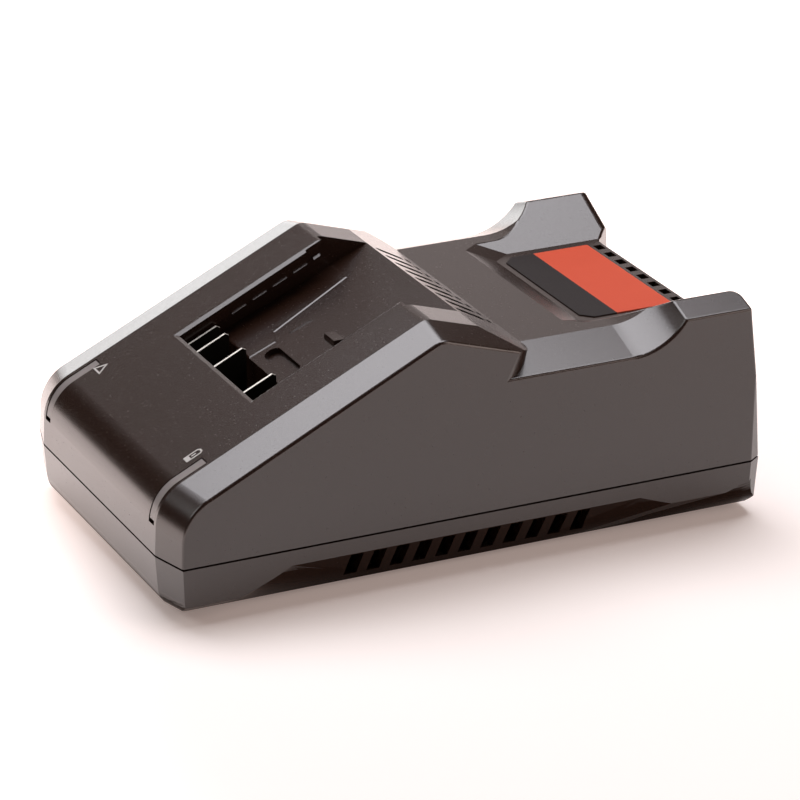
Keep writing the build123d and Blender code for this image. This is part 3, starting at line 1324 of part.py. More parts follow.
def can_capacitor(places, radius, height):
    """Electrolytic cans standing on the board, with a crimp near the foot."""
    with BuildPart() as cans:
        for x, y in places:
            with BuildSketch(Plane(origin=(x, y, BOARD_TOP), x_dir=(1, 0, 0), z_dir=(0, -1, 0))):
                with BuildLine():
                    Polyline(
                        (0, 0),
                        (radius, 0),
                        (radius, CRIMP_HEIGHT - 1.5 * CRIMP_DEPTH),
                        (radius - CRIMP_DEPTH, CRIMP_HEIGHT - 0.5 * CRIMP_DEPTH),
                        (radius - CRIMP_DEPTH, CRIMP_HEIGHT + 0.5 * CRIMP_DEPTH),
                        (radius, CRIMP_HEIGHT + 1.5 * CRIMP_DEPTH),
                        (radius, height - CRIMP_DEPTH),
                        (radius - CRIMP_DEPTH, height),
                        (0, height),
                        close=True,
                    )
                make_face()
            revolve(axis=Axis((x, y, BOARD_TOP), (0, 0, 1)))
    return cans.part


def standing_block(x, y, width, depth, height, foot=0.0):
    """Moulded block standing on the board, with its upright edges rounded."""
    with BuildPart() as block:
        with BuildSketch(Plane.XY.offset(BOARD_TOP + foot)) as plan:
            with Locations((x, y)):
                Rectangle(width, depth)
            fillet(plan.vertices(), min(width, depth) * 0.12)
        extrude(amount=height)
    return block.part


def standing_disc(x, y, radius, thickness, lead):
    """Round disc component on edge, on two short leads."""
    with BuildPart() as disc:
        with BuildSketch(Plane.XZ.offset(-y - thickness / 2)):
            with Locations((x, BOARD_TOP + lead + radius)):
                Circle(radius)
        extrude(amount=thickness)
        fillet(disc.edges(), thickness * 0.35)
        with BuildSketch(Plane.XY.offset(BOARD_TOP)):
            with Locations((x - radius / 2, y), (x + radius / 2, y)):
                Circle(LEAD_RADIUS)
        extrude(amount=lead + radius * 0.6)
    return disc.part


def power_device(x, y, side):
    """Flat power package on three legs, with its back on a heat sink."""
    with BuildPart() as device:
        with BuildSketch(Plane.XY.offset(BOARD_TOP + DEVICE_LEG)):
            with Locations((x, y)):
                Rectangle(DEVICE_DEPTH, DEVICE_WIDTH)
        extrude(amount=DEVICE_BODY)
        with BuildSketch(Plane.XY.offset(BOARD_TOP + DEVICE_LEG + DEVICE_BODY)):
            with Locations((x + side * (DEVICE_DEPTH - DEVICE_TAB_THICKNESS) / 2, y)):
                Rectangle(DEVICE_TAB_THICKNESS, DEVICE_WIDTH)
        extrude(amount=DEVICE_TAB)
        with BuildSketch(Plane.XY.offset(BOARD_TOP)):
            with Locations((x, y)):
                with GridLocations(1, 2.54, 1, 3):
                    Rectangle(0.6, 0.9)
        extrude(amount=DEVICE_LEG)
    return device.part


def heat_sink(x, start, end, side):
    """Upright plate with a folded top and three folded feet on the board."""
    with BuildPart() as plate:
        with BuildSketch(Plane.XY.offset(BOARD_TOP + SINK_FOOT)):
            with Locations((x, (start + end) / 2)):
                Rectangle(SINK_THICKNESS, end - start)
        extrude(amount=SINK_HEIGHT - SINK_FOOT)
        with BuildSketch(Plane.XY.offset(BOARD_TOP + SINK_HEIGHT - SINK_THICKNESS)):
            with Locations((x - side * SINK_FOLD / 2, (start + end) / 2)):
                Rectangle(SINK_FOLD + SINK_THICKNESS, end - start)
        extrude(amount=SINK_THICKNESS)
        with BuildSketch(Plane.XY.offset(BOARD_TOP)):
            with Locations((x, (start + end) / 2)):
                with GridLocations(1, (end - start) / 2 - 2, 1, 3):
                    Rectangle(SINK_THICKNESS, 3)
        extrude(amount=SINK_FOOT)
    return plate.part


sink_x = HALF_WIDTH - SINK_INSET
device_offset = (SINK_THICKNESS + DEVICE_DEPTH) / 2
transistor_y = along(TRANSFORMER_STATION - 6)
diode_y = along(OUTPUT_STATION)
components = {
    "bulk_capacitor": can_capacitor([(27.0, along(BULK_STATION))], 11.0, 31.0),
    "output_capacitors": can_capacitor(
        [(22.0, along(OUTPUT_STATION - 6)), (22.0, along(OUTPUT_STATION + 6))], 5.0, 20.0
    ),
    "output_inductor": can_capacitor([(8.0, along(OUTPUT_STATION))], 6.0, 11.0),
    "charge_controller": standing_block(-12.0, along(OUTPUT_STATION - 6), 9.0, 9.0, 1.6),
    "supply_controller": standing_block(-32.0, along(BULK_STATION - 2), 6.0, 9.0, 2.2),
    "sense_resistor": standing_block(10.0, along(SENSE_STATION), 6.4, 3.2, 0.9),
    "film_capacitor": standing_block(-2.0, along(CHOKE_STATION), 8.0, 18.0, 15.0),
    "bridge_rectifier": standing_block(9.0, along(CHOKE_STATION - 3), 3.8, 15.0, 12.0, 0.0),
    "input_fuse": standing_block(33.0, along(INLET_STATION), 8.5, 4.5, 8.0),
    "terminal_block": standing_block(INLET_X, along(INLET_STATION), 11.0, 8.0, 10.0),
    "varistor": standing_disc(4.0, along(INLET_STATION + 2), 5.0, 3.6, 1.5),
    "bridging_capacitor": standing_disc(22.0, along(COUPLER_STATION + 6), 4.0, 3.2, 1.5),
    "primary_heat_sink": heat_sink(-sink_x, transistor_y - 16, transistor_y + 16, -1),
    "secondary_heat_sink": heat_sink(sink_x, diode_y - 14, diode_y + 14, 1),
    "power_transistor": power_device(-sink_x + device_offset, transistor_y, -1),
    "rectifier_diode": power_device(sink_x - device_offset, diode_y, 1),
}
for component_name, component in components.items():
    component.label = component_name
    export_step(component, f"parts/{component_name}.step")

with BuildPart() as signal_couplers:
    with BuildSketch(Plane.XY.offset(BOARD_TOP)):
        with Locations((2.0, along(COUPLER_STATION))):
            with GridLocations(8, 1, 2, 1):
                Rectangle(4.6, 6.5)
    extrude(amount=3.6)
    chamfer(signal_couplers.faces().filter_by(Plane.XY).group_by(Axis.Z)[-1].edges(), 0.5)
signal_couplers.part.label = "signal_couplers"
export_step(signal_couplers.part, "parts/signal_couplers.step")

with BuildPart() as status_lamps:
    with BuildSketch(Plane.XY.offset(BOARD_TOP)):
        for side in (-1, 1):
            with Locations((side * (HALF_WIDTH - PIPE_INSET), along(PIPE_LEG_STATION))):
                Rectangle(3.2, 2.8)
    extrude(amount=2.0)
    chamfer(status_lamps.faces().filter_by(Plane.XY).group_by(Axis.Z)[-1].edges(), 0.4)
status_lamps.part.label = "status_lamps"
export_step(status_lamps.part, "parts/status_lamps.step")

# Filter choke: a ring core lying on two winding saddles
choke_x = -20.0
choke_y = along(CHOKE_STATION)
ring_radius = 8.0
ring_hole = 4.6
ring_height = 7.0
turn_build = 1.6
with BuildPart() as choke_core:
    with BuildSketch(Plane.XY.offset(BOARD_TOP + turn_build + SNUG)):
        with Locations((choke_x, choke_y)):
            Circle(ring_radius)
            Circle(ring_hole, mode=Mode.SUBTRACT)
    extrude(amount=ring_height)
choke_core.part.label = "choke_core"
export_step(choke_core.part, "parts/choke_core.step")

with BuildPart() as choke_windings:
    with BuildSketch(Plane.XY.offset(BOARD_TOP)):
        with Locations((choke_x, choke_y)):
            Circle(ring_radius + turn_build)
            Circle(ring_hole - turn_build, mode=Mode.SUBTRACT)
            Rectangle(6.0, 2 * ring_radius + 6, mode=Mode.SUBTRACT)
    extrude(amount=ring_height + 2 * turn_build + 2 * SNUG)
    with BuildSketch(Plane.XY.offset(BOARD_TOP + turn_build)):
        with Locations((choke_x, choke_y)):
            Circle(ring_radius + SNUG)
            Circle(ring_hole - SNUG, mode=Mode.SUBTRACT)
    extrude(amount=ring_height + 2 * SNUG, mode=Mode.SUBTRACT)
choke_windings.part.label = "choke_windings"
export_step(choke_windings.part, "parts/choke_windings.step")
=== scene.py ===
import logging
import math
from dataclasses import dataclass, field
from enum import Enum

import bmesh
import bpy
from mathutils import Matrix, Vector


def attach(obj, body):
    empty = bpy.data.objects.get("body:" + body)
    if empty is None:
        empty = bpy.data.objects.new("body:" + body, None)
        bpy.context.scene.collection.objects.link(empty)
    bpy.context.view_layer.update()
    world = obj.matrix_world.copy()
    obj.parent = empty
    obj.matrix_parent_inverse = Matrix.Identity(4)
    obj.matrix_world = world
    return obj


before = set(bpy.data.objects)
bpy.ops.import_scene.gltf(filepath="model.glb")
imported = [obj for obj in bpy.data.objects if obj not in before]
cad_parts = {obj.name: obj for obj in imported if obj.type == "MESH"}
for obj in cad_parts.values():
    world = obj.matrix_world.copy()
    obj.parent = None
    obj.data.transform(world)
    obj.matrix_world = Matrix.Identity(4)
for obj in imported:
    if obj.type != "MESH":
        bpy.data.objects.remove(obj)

log = logging.getLogger("charger")
MM = 0.001
WAVE_RATE = 20.0  # radians that the wave texture turns through in one unit at scale 1
NOISE_LOW, NOISE_HIGH = 0.25, 0.75  # the noise textures seldom leave this range
DRIFT_DETAIL, DRIFT_ROUGHNESS = 3.0, 0.6
GRAIN_ROUGHNESS = 0.55
SKIN_GLOSS = 0.9  # roughness of the satin skin, as a share of the roughness under it
ROOT = "root"

Tree = bpy.types.NodeTree
Node = bpy.types.Node
Socket = bpy.types.NodeSocket
Value = float | tuple[float, ...] | Socket
Outline = list[tuple[float, float]]


def linear(colour: str) -> tuple[float, float, float, float]:
    """Turns an sRGB hex colour into Blender's linear values.

    Args:
        colour: Six hex digits with a leading #.

    Returns:
        Linear red, green and blue, and a full alpha.
    """
    parts = [int(colour[i:i + 2], 16) / 255 for i in (1, 3, 5)]
    red, green, blue = [c / 12.92 if c <= 0.04045 else ((c + 0.055) / 1.055) ** 2.4 for c in parts]
    return red, green, blue, 1.0


def add_node(
    tree: Tree,
    kind: str,
    settings: dict[str, object] | None = None,
    inputs: dict[str | int, Value] | None = None,
) -> Node:
    """Adds one shader node with its settings, its constants and its links.

    Args:
        tree: Node tree that gets the node.
        kind: Blender's name of the node type.
        settings: Attributes of the node.
        inputs: Sockets by name or place, each with a constant or a socket to link from.

    Returns:
        The new node.
    """
    node = tree.nodes.new(kind)
    for name, setting in (settings or {}).items():
        setattr(node, name, setting)
    for key, value in (inputs or {}).items():
        if isinstance(value, Socket):
            tree.links.new(value, node.inputs[key])
        else:
            node.inputs[key].default_value = value
    return node


# ---------------------------------------------------------------- finishes
def blend(
    tree: Tree,
    factor: Socket,
    first: Value,
    second: Value,
) -> Socket:
    """Mixes two colours.

    Args:
        tree: The material's nodes.
        factor: 0 gives the first colour, and 1 the second.
        first: Colour or socket.
        second: Colour or socket.

    Returns:
        The mixed colour.
    """
    # The node has one set of sockets for each data type, so the colour ones go by place.
    mix = add_node(tree, "ShaderNodeMix", {"data_type": "RGBA"}, {0: factor, 6: first, 7: second})
    return mix.outputs[2]


def upward(tree: Tree, low: float, high: float) -> Socket:
    """Factor that rises from 0 to 1 as a face turns upwards.

    Args:
        tree: The material's nodes.
        low: Upward part of the face's normal at which the factor is 0.
        high: The same at which it is 1.

    Returns:
        The factor.
    """
    facing = add_node(tree, "ShaderNodeNewGeometry").outputs["True Normal"]
    split = add_node(tree, "ShaderNodeSeparateXYZ", None, {0: facing})
    factor = add_node(tree, "ShaderNodeMapRange", None, {
        "Value": split.outputs["Z"],
        "From Min": low,
        "From Max": high,
    })
    return factor.outputs["Result"]


@dataclass(frozen=True)
class Finish:
    """A surface finish: colour with a slow drift, and a grain that moves gloss and relief.

    Grain, relief and drift are the grain's pitch, its depth and the pitch of the colour's drift
    in millimetres. The gloss spread is how far the grain moves the roughness either way, and
    the skin is the weight of a satin coat. Colours are sRGB hex values.
    """

    name: str
    colour: str
    drift_colour: str
    roughness: float
    metallic: float = 0.0
    ior: float = 1.5
    grain: float = 0.5
    grain_detail: float = 2.0
    relief: float = 0.02
    drift: float = 18.0
    gloss_spread: float = 0.06
    skin: float = 0.0

    def build(self) -> bpy.types.Material:
        """Makes the material.

        Returns:
            A node material with this finish.
        """
        material = bpy.data.materials.new(self.name)
        material.use_nodes = True
        tree = material.node_tree
        tree.nodes.clear()
        shader = add_node(tree, "ShaderNodeBsdfPrincipled", None, {
            "Metallic": self.metallic,
            "Roughness": self.roughness,
        })
        if not self.metallic:
            shader.inputs["IOR"].default_value = self.ior
            shader.inputs["Coat Weight"].default_value = self.skin
            shader.inputs["Coat Roughness"].default_value = self.roughness * SKIN_GLOSS
        place = add_node(tree, "ShaderNodeTexCoord").outputs["Object"]
        tree.links.new(self.paint(tree, place), shader.inputs["Base Color"])
        height = self.texture(tree, place)
        gloss = add_node(tree, "ShaderNodeMapRange", None, {
            "Value": height,
            "From Min": NOISE_LOW,
            "From Max": NOISE_HIGH,
            "To Min": self.roughness - self.gloss_spread,
            "To Max": self.roughness + self.gloss_spread,
        })
        tree.links.new(gloss.outputs["Result"], shader.inputs["Roughness"])
        bump = add_node(tree, "ShaderNodeBump", None, {
            "Strength": 1.0,
            "Distance": self.relief * MM,
            "Height": height,
        })
        tree.links.new(bump.outputs["Normal"], shader.inputs["Normal"])
        self.extra(tree, place, shader)
        add_node(tree, "ShaderNodeOutputMaterial", None, {"Surface": shader.outputs["BSDF"]})
        return material

    def paint(self, tree: Tree, place: Socket) -> Socket:
        """Colour socket: two near shades that drift into each other.

        Args:
            tree: The material's nodes.
            place: Position on the object, in metres.

        Returns:
            The colour.
        """
        noise = add_node(tree, "ShaderNodeTexNoise", None, {
            "Vector": place,
            "Scale": 1 / (self.drift * MM),
            "Detail": DRIFT_DETAIL,
            "Roughness": DRIFT_ROUGHNESS,
        })
        return blend(tree, noise.outputs["Fac"], linear(self.colour), linear(self.drift_colour))

    def texture(self, tree: Tree, place: Socket) -> Socket:
        """Height socket: an even grain.

        Args:
            tree: The material's nodes.
            place: Position on the object, in metres.

        Returns:
            The height, about 0 to 1.
        """
        noise = add_node(tree, "ShaderNodeTexNoise", None, {
            "Vector": place,
            "Scale": 1 / (self.grain * MM),
            "Detail": self.grain_detail,
            "Roughness": GRAIN_ROUGHNESS,
        })
        return noise.outputs["Fac"]

    def extra(self, tree: Tree, place: Socket, shader: Node) -> None:
        """Hook for what one finish has beyond the others."""


@dataclass(frozen=True)
class DrawnMetal(Finish):
    """Rolled or drawn metal: fine streaks along the axis with the largest streak value."""

    streak: tuple[float, float, float] = (1.0, 1.0, 12.0)

    def texture(self, tree: Tree, place: Socket) -> Socket:
        """Height socket: noise stretched along the rolling direction.

        Args:
            tree: The material's nodes.
            place: Position on the object, in metres.

        Returns:
            The height, about 0 to 1.
        """
        squeeze = tuple(1 / s for s in self.streak)
        stretched = add_node(tree, "ShaderNodeMapping", None, {"Vector": place, "Scale": squeeze})
        noise = add_node(tree, "ShaderNodeTexNoise", None, {
            "Vector": stretched.outputs["Vector"],
            "Scale": 1 / (self.grain * MM),
            "Detail": DRIFT_DETAIL,
            "Roughness": DRIFT_ROUGHNESS,
        })
        return noise.outputs["Fac"]


@dataclass(frozen=True)
class MouldedShell(Finish):
    """Spark-eroded plastic: satin all round; faces that look down get a painted shade."""

    # Painted shade: specular level of downward faces, and where the shade begins and ends.
    underside_shade_specular: float = 0.02
    full_specular: float = 0.5
    underside_shade_below: float = -0.36
    satin_above: float = -0.2

    def extra(self, tree: Tree, place: Socket, shader: Node) -> None:
        """Painted shade: takes the satin skin and most gloss off the faces that look down.

        Args:
            tree: The material's nodes.
            place: Not used.
            shader: The finish's own shader.
        """
        # Painted shade: faces that look down lose coat and specular, so they render dark.
        satin = upward(tree, self.underside_shade_below, self.satin_above)
        for name, dull, full in (
            ("Coat Weight", 0.0, self.skin),
            ("Specular IOR Level", self.underside_shade_specular, self.full_specular),
        ):
            share = add_node(tree, "ShaderNodeMapRange", None, {
                "Value": satin,
                "To Min": dull,
                "To Max": full,
            })
            tree.links.new(share.outputs["Result"], shader.inputs[name])


@dataclass(frozen=True)
class SideShadedMetal(DrawnMetal):
    """Stamped contact metal: own colour on faces that look up, painted shade on the rest."""

    # Painted shade on the side faces: its colour, and where it is full and where it fades out.
    side_shade_colour: str = "#35322E"
    side_shade_below: float = 0.2
    bare_above: float = 0.6

    def paint(self, tree: Tree, place: Socket) -> Socket:
        """Colour socket: the metal where the surface faces up, and a painted shade elsewhere.

        Args:
            tree: The material's nodes.
            place: Position on the object, in metres.

        Returns:
            The colour.
        """
        base = Finish.paint(self, tree, place)
        # Where the surface faces up the metal shows its own colour; elsewhere the painted shade.
        bare = upward(tree, self.side_shade_below, self.bare_above)
        return blend(tree, bare, linear(self.side_shade_colour), base)


@dataclass(frozen=True)
class WoundWire(Finish):
    """Enamelled wire wound round a core: one ridge for each turn."""

    wire: float = 0.7
    radius: float = 8.0
    middle: tuple[float, float] = (-20.0, 48.0)

    def texture(self, tree: Tree, place: Socket) -> Socket:
        """Height socket: ridges fanned round the middle of the ring.

        Args:
            tree: The material's nodes.
            place: Position on the object, in metres.

        Returns:
            The height, 0 to 1.
        """
        axis = (-self.middle[0] * MM, -self.middle[1] * MM, 0.0)
        centred = add_node(tree, "ShaderNodeVectorMath", {"operation": "ADD"}, {0: place, 1: axis})
        split = add_node(tree, "ShaderNodeSeparateXYZ", None, {0: centred.outputs[0]})
        angle = add_node(tree, "ShaderNodeMath", {"operation": "ARCTAN2"}, {
            0: split.outputs["Y"],
            1: split.outputs["X"],
        })
        turns = math.tau * self.radius / self.wire
        wave = add_node(tree, "ShaderNodeMath", {"operation": "MULTIPLY"}, {
            0: angle.outputs[0],
            1: turns,
        })
        ridge = add_node(tree, "ShaderNodeMath", {"operation": "SINE"}, {0: wave.outputs[0]})
        height = add_node(tree, "ShaderNodeMath", {"operation": "MULTIPLY_ADD"}, {
            0: ridge.outputs[0],
            1: 0.5,
            2: 0.5,
        })
        return height.outputs[0]


@dataclass(frozen=True)
class Layered(Finish):
    """Stacked layers, such as tape lapped round a coil: one step for each layer."""

    layer: float = 1.6
    wobble: float = 0.4

    def texture(self, tree: Tree, place: Socket) -> Socket:
        """Height socket: bands up the piece.

        Args:
            tree: The material's nodes.
            place: Position on the object, in metres.

        Returns:
            The height, 0 to 1.
        """
        steps = {"bands_direction": "Z", "wave_profile": "SAW"}
        bands = add_node(tree, "ShaderNodeTexWave", steps, {
            "Vector": place,
            "Scale": math.tau / (WAVE_RATE * self.layer * MM),
            "Distortion": self.wobble,
        })
        return bands.outputs["Fac"]


@dataclass(frozen=True)
class PrintedFilm(Finish):
    """Printed label film: two plain fields that meet in a straight line across it."""

    second_colour: str = "#3A3634"
    border_y: float = 60.5

    def paint(self, tree: Tree, place: Socket) -> Socket:
        """Colour socket: the first colour behind the border, the second in front of it.

        Args:
            tree: The material's nodes.
            place: Position on the object, in metres.

        Returns:
            The colour.
        """
        base = Finish.paint(self, tree, place)
        split = add_node(tree, "ShaderNodeSeparateXYZ", None, {0: place})
        behind = add_node(tree, "ShaderNodeMath", {"operation": "GREATER_THAN"}, {
            0: split.outputs["Y"],
            1: self.border_y * MM,
        })
        return blend(tree, behind.outputs[0], linear(self.second_colour), base)


@dataclass(frozen=True)
class SleevedCan(Finish):
    """Aluminium can in a shrink sleeve, with bare metal on top."""

    bare_colour: str = "#C9CACC"
    bare_above: float = 0.8

    def paint(self, tree: Tree, place: Socket) -> Socket:
        """Colour socket: the sleeve's colour, and bare metal where the surface faces up.

        Args:
            tree: The material's nodes.
            place: Position on the object, in metres.

        Returns:
            The colour.
        """
        base = Finish.paint(self, tree, place)
        facing = add_node(tree, "ShaderNodeNewGeometry").outputs["Normal"]
        split = add_node(tree, "ShaderNodeSeparateXYZ", None, {0: facing})
        top = add_node(tree, "ShaderNodeMath", {"operation": "GREATER_THAN"}, {
            0: split.outputs["Z"],
            1: self.bare_above,
        })
        return blend(tree, top.outputs[0], base, linear(self.bare_colour))


@dataclass(frozen=True)
class CoatedBoard(Finish):
    """Circuit laminate under solder resist, with the copper tracks showing as a lighter web."""

    track_colour: str = "#5E6B34"
    track_pitch: float = 3.2
    track_reach: float = 0.34
    track_scatter: float = 0.7

    def paint(self, tree: Tree, place: Socket) -> Socket:
        """Colour socket: resist, lighter over the copper.

        Args:
            tree: The material's nodes.
            place: Position on the object, in metres.

        Returns:
            The colour.
        """
        base = Finish.paint(self, tree, place)
        cells = add_node(tree, "ShaderNodeTexVoronoi", {"distance": "CHEBYCHEV"}, {
            "Vector": place,
            "Scale": 1 / (self.track_pitch * MM),
            "Randomness": self.track_scatter,
        })
        track = add_node(tree, "ShaderNodeMath", {"operation": "LESS_THAN"}, {
            0: cells.outputs["Distance"],
            1: self.track_reach,
        })
        return blend(tree, track.outputs[0], base, linear(self.track_colour))


# Polycarbonate blend moulded against a spark-eroded die: dark brown-grey with a fine pitted
# grain that breaks highlights into a satin sheen. The real grain is about 0.1 mm; it is drawn
# at 0.7 mm so that it shows. Faces that look down lose the sheen: a painted shade, for the
# shadow under the object.
SHELL = MouldedShell(
    "spark_eroded_polycarbonate_abs", "#23130B", "#291810", roughness=0.25, ior=1.6,
    grain=0.7, grain_detail=1.0, relief=0.004, drift=26.0, gloss_spread=0.025, skin=0.5,
)
# The same blend, polished in the die only: light falls through it a little, so it reads grey.
PIPE = Finish(
    "smoked_polycarbonate_light_pipe", "#857D7A", "#908885", roughness=0.3, ior=1.58,
    grain=0.8, relief=0.004, drift=6.0, gloss_spread=0.03,
)
# Screen-printed polycarbonate film with a velvet face: two flat inks, hardly any gloss.
LABEL = PrintedFilm(
    "printed_polycarbonate_film", "#C8492B", "#CE4E2F", roughness=0.75, ior=1.45,
    grain=0.35, relief=0.004, drift=12.0, gloss_spread=0.03, second_colour="#1C1210",
)
# Pad-printing ink: flat, slightly uneven white.
INK = Finish(
    "pad_printed_white_ink", "#C9C4C0", "#BDB8B4", roughness=0.6, ior=1.5,
    grain=0.4, relief=0.004, drift=1.2,
)
# Moulded nitrile rubber, dull, with a dusty bloom.
RUBBER = Finish(
    "moulded_nitrile_rubber", "#232120", "#2B2927", roughness=0.75, ior=1.52,
    grain=0.6, relief=0.03, drift=5.0,
)
# Bright nickel plate on rolled copper alloy: warm white metal with faint rolling lines.
# The blades' faces that do not look up carry a painted shade.
NICKEL = SideShadedMetal(
    "nickel_plated_rolled_brass", "#F0ECE4", "#E6E1D8", roughness=0.5, metallic=1.0,
    grain=0.25, relief=0.003, drift=8.0, streak=(1.0, 8.0, 1.0), gloss_spread=0.06,
)
# Blue-clear zinc on cold-headed steel: cool grey, a little cloudy.
ZINC = Finish(
    "zinc_plated_cold_headed_steel", "#A9AEB2", "#8F9498", roughness=0.34, metallic=1.0,
    grain=0.4, relief=0.004, drift=1.5, gloss_spread=0.08,
)
# Glass-filled nylon, moulded: near black, with faint swirls of fibre.
NYLON = Finish(
    "moulded_glass_filled_nylon", "#1E1C1B", "#262422", roughness=0.5, ior=1.53,
    grain=0.7, relief=0.012, drift=4.0,
)
# Paper-phenolic laminate under green-brown resist.
BOARD = CoatedBoard(
    "resist_coated_phenolic_laminate", "#46522A", "#3E4925", roughness=0.38, ior=1.55,
    grain=0.9, relief=0.01, drift=10.0,
)
# Pressed electrical card, fibrous and dull.
CARD = Finish(
    "pressed_insulating_card", "#B5AE9A", "#A59E8A", roughness=0.85, ior=1.5,
    grain=0.8, relief=0.03, drift=6.0,
)
# Sintered manganese-zinc ferrite: dark, dry and finely pitted.
FERRITE = Finish(
    "sintered_ferrite", "#2C2C2E", "#353536", roughness=0.6, ior=1.9,
    grain=0.5, relief=0.02, drift=3.0,
)
# Yellow polyester tape, lapped over the winding.
TAPE = Layered(
    "lapped_polyester_tape", "#C9A227", "#D2AE3A", roughness=0.3, ior=1.6,
    relief=0.08, drift=5.0, layer=2.4,
)
# Enamelled copper wire: deep orange-brown, glossy ridges.
WIRE = WoundWire(
    "enamelled_copper_wire", "#A4532B", "#B9623A", roughness=0.25, metallic=1.0,
    relief=0.25, drift=3.0, wire=0.9,
)
# Dark blue polyester shrink sleeve over a drawn can.
SLEEVE = SleevedCan(
    "shrink_sleeved_aluminium_can", "#1B2440", "#202A49", roughness=0.28, ior=1.57,
    grain=0.8, relief=0.006, drift=9.0,
)
# Transfer-moulded epoxy, matt black, as on chips and power packages.
EPOXY = Finish(
    "transfer_moulded_epoxy", "#1F1F20", "#292929", roughness=0.55, ior=1.55,
    grain=0.3, relief=0.01, drift=2.0,
)
# Yellow moulded box of a film capacitor, smooth and slightly waxy.
FILM_BOX = Finish(
    "moulded_polyester_box", "#C79A1F", "#CFA32B", roughness=0.32, ior=1.57,
    grain=0.7, relief=0.005, drift=4.0,
)
# Green polyamide of a wire terminal.
TERMINAL = Finish(
    "moulded_green_polyamide", "#2F6E3B", "#357A43", roughness=0.42, ior=1.53,
    grain=0.6, relief=0.01, drift=3.0,
)
# Dip-coated disc: thick glossy epoxy with a slight sag.
DISC = Finish(
    "dip_coated_epoxy_disc", "#2B4E9B", "#2F56A8", roughness=0.2, ior=1.55,
    grain=1.6, relief=0.03, drift=3.0, gloss_spread=0.03,
)
# Rolled aluminium sheet, mill finish, streaked along its length.
ALUMINIUM = DrawnMetal(
    "mill_finish_rolled_aluminium", "#C6C8CA", "#BBBDC0", roughness=0.35, metallic=1.0,
    grain=0.3, relief=0.004, drift=9.0, streak=(1.0, 14.0, 1.0), gloss_spread=0.08,
)
# Diffusing silicone over a small light-emitting diode.
LAMP = Finish(
    "diffusing_silicone", "#E4E0CE", "#DAD6C2", roughness=0.4, ior=1.41,
    grain=0.5, relief=0.004, drift=1.0,
)


# ---------------------------------------------------------------- the charger's pieces
@dataclass
class Dressing:
    """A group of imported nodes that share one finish."""

    nodes: tuple[str, ...]
    finish: Finish

    def dress(self) -> None:
        """Gives every node of the group its material."""
        material = self.finish.build()
        for name in self.nodes:
            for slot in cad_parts[name].material_slots:
                slot.material = material
            log.info("%s: %s", name, self.finish.name)


@dataclass
class SubAssembly:
    """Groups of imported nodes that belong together."""

    groups: list[Dressing] = field(default_factory=list)

    def dress(self) -> None:
        """Dresses each group."""
        for group in self.groups:
            group.dress()


@dataclass
class Housing(SubAssembly):
    """Both shells with their light pipes, label film, feet, screws and cord inlet."""

    groups: list[Dressing] = field(default_factory=lambda: [
        Dressing(("upper_housing", "lower_housing"), SHELL),
        Dressing(("light_pipe_left", "light_pipe_right"), PIPE),
        Dressing(("label_film",), LABEL),
        Dressing(("rubber_feet", "cord_bushing"), RUBBER),
        Dressing(("housing_screws", "board_screws", "clamp_screws"), ZINC),
        Dressing(("cord_clamp",), NYLON),
    ])


@dataclass
class Contacts(SubAssembly):
    """The contact tower and its four blades."""

    groups: list[Dressing] = field(default_factory=lambda: [
        Dressing(("contact_tower",), NYLON),
        Dressing((
            "contact_negative", "contact_sense_code", "contact_sense_heat", "contact_positive",
        ), NICKEL),
    ])


@dataclass
class Electronics(SubAssembly):
    """The board and everything soldered to it."""

    groups: list[Dressing] = field(default_factory=lambda: [
        Dressing(("circuit_board",), BOARD),
        Dressing(("insulating_sheet",), CARD),
        Dressing(("transformer_core", "choke_core", "output_inductor"), FERRITE),
        Dressing(("transformer_bobbin",), NYLON),
        Dressing(("transformer_winding",), TAPE),
        Dressing(("choke_windings",), WIRE),
        Dressing(("bulk_capacitor", "output_capacitors"), SLEEVE),
        Dressing((
            "charge_controller", "supply_controller", "sense_resistor", "bridge_rectifier",
            "input_fuse", "power_transistor", "rectifier_diode", "signal_couplers",
        ), EPOXY),
        Dressing(("film_capacitor",), FILM_BOX),
        Dressing(("terminal_block",), TERMINAL),
        Dressing(("varistor", "bridging_capacitor"), DISC),
        Dressing(("primary_heat_sink", "secondary_heat_sink"), ALUMINIUM),
        Dressing(("status_lamps",), LAMP),
    ])


class Mark(Enum):
    """The two plain marks printed beside the light pipes."""

    FAULT = "fault_mark"
    BATTERY = "battery_mark"


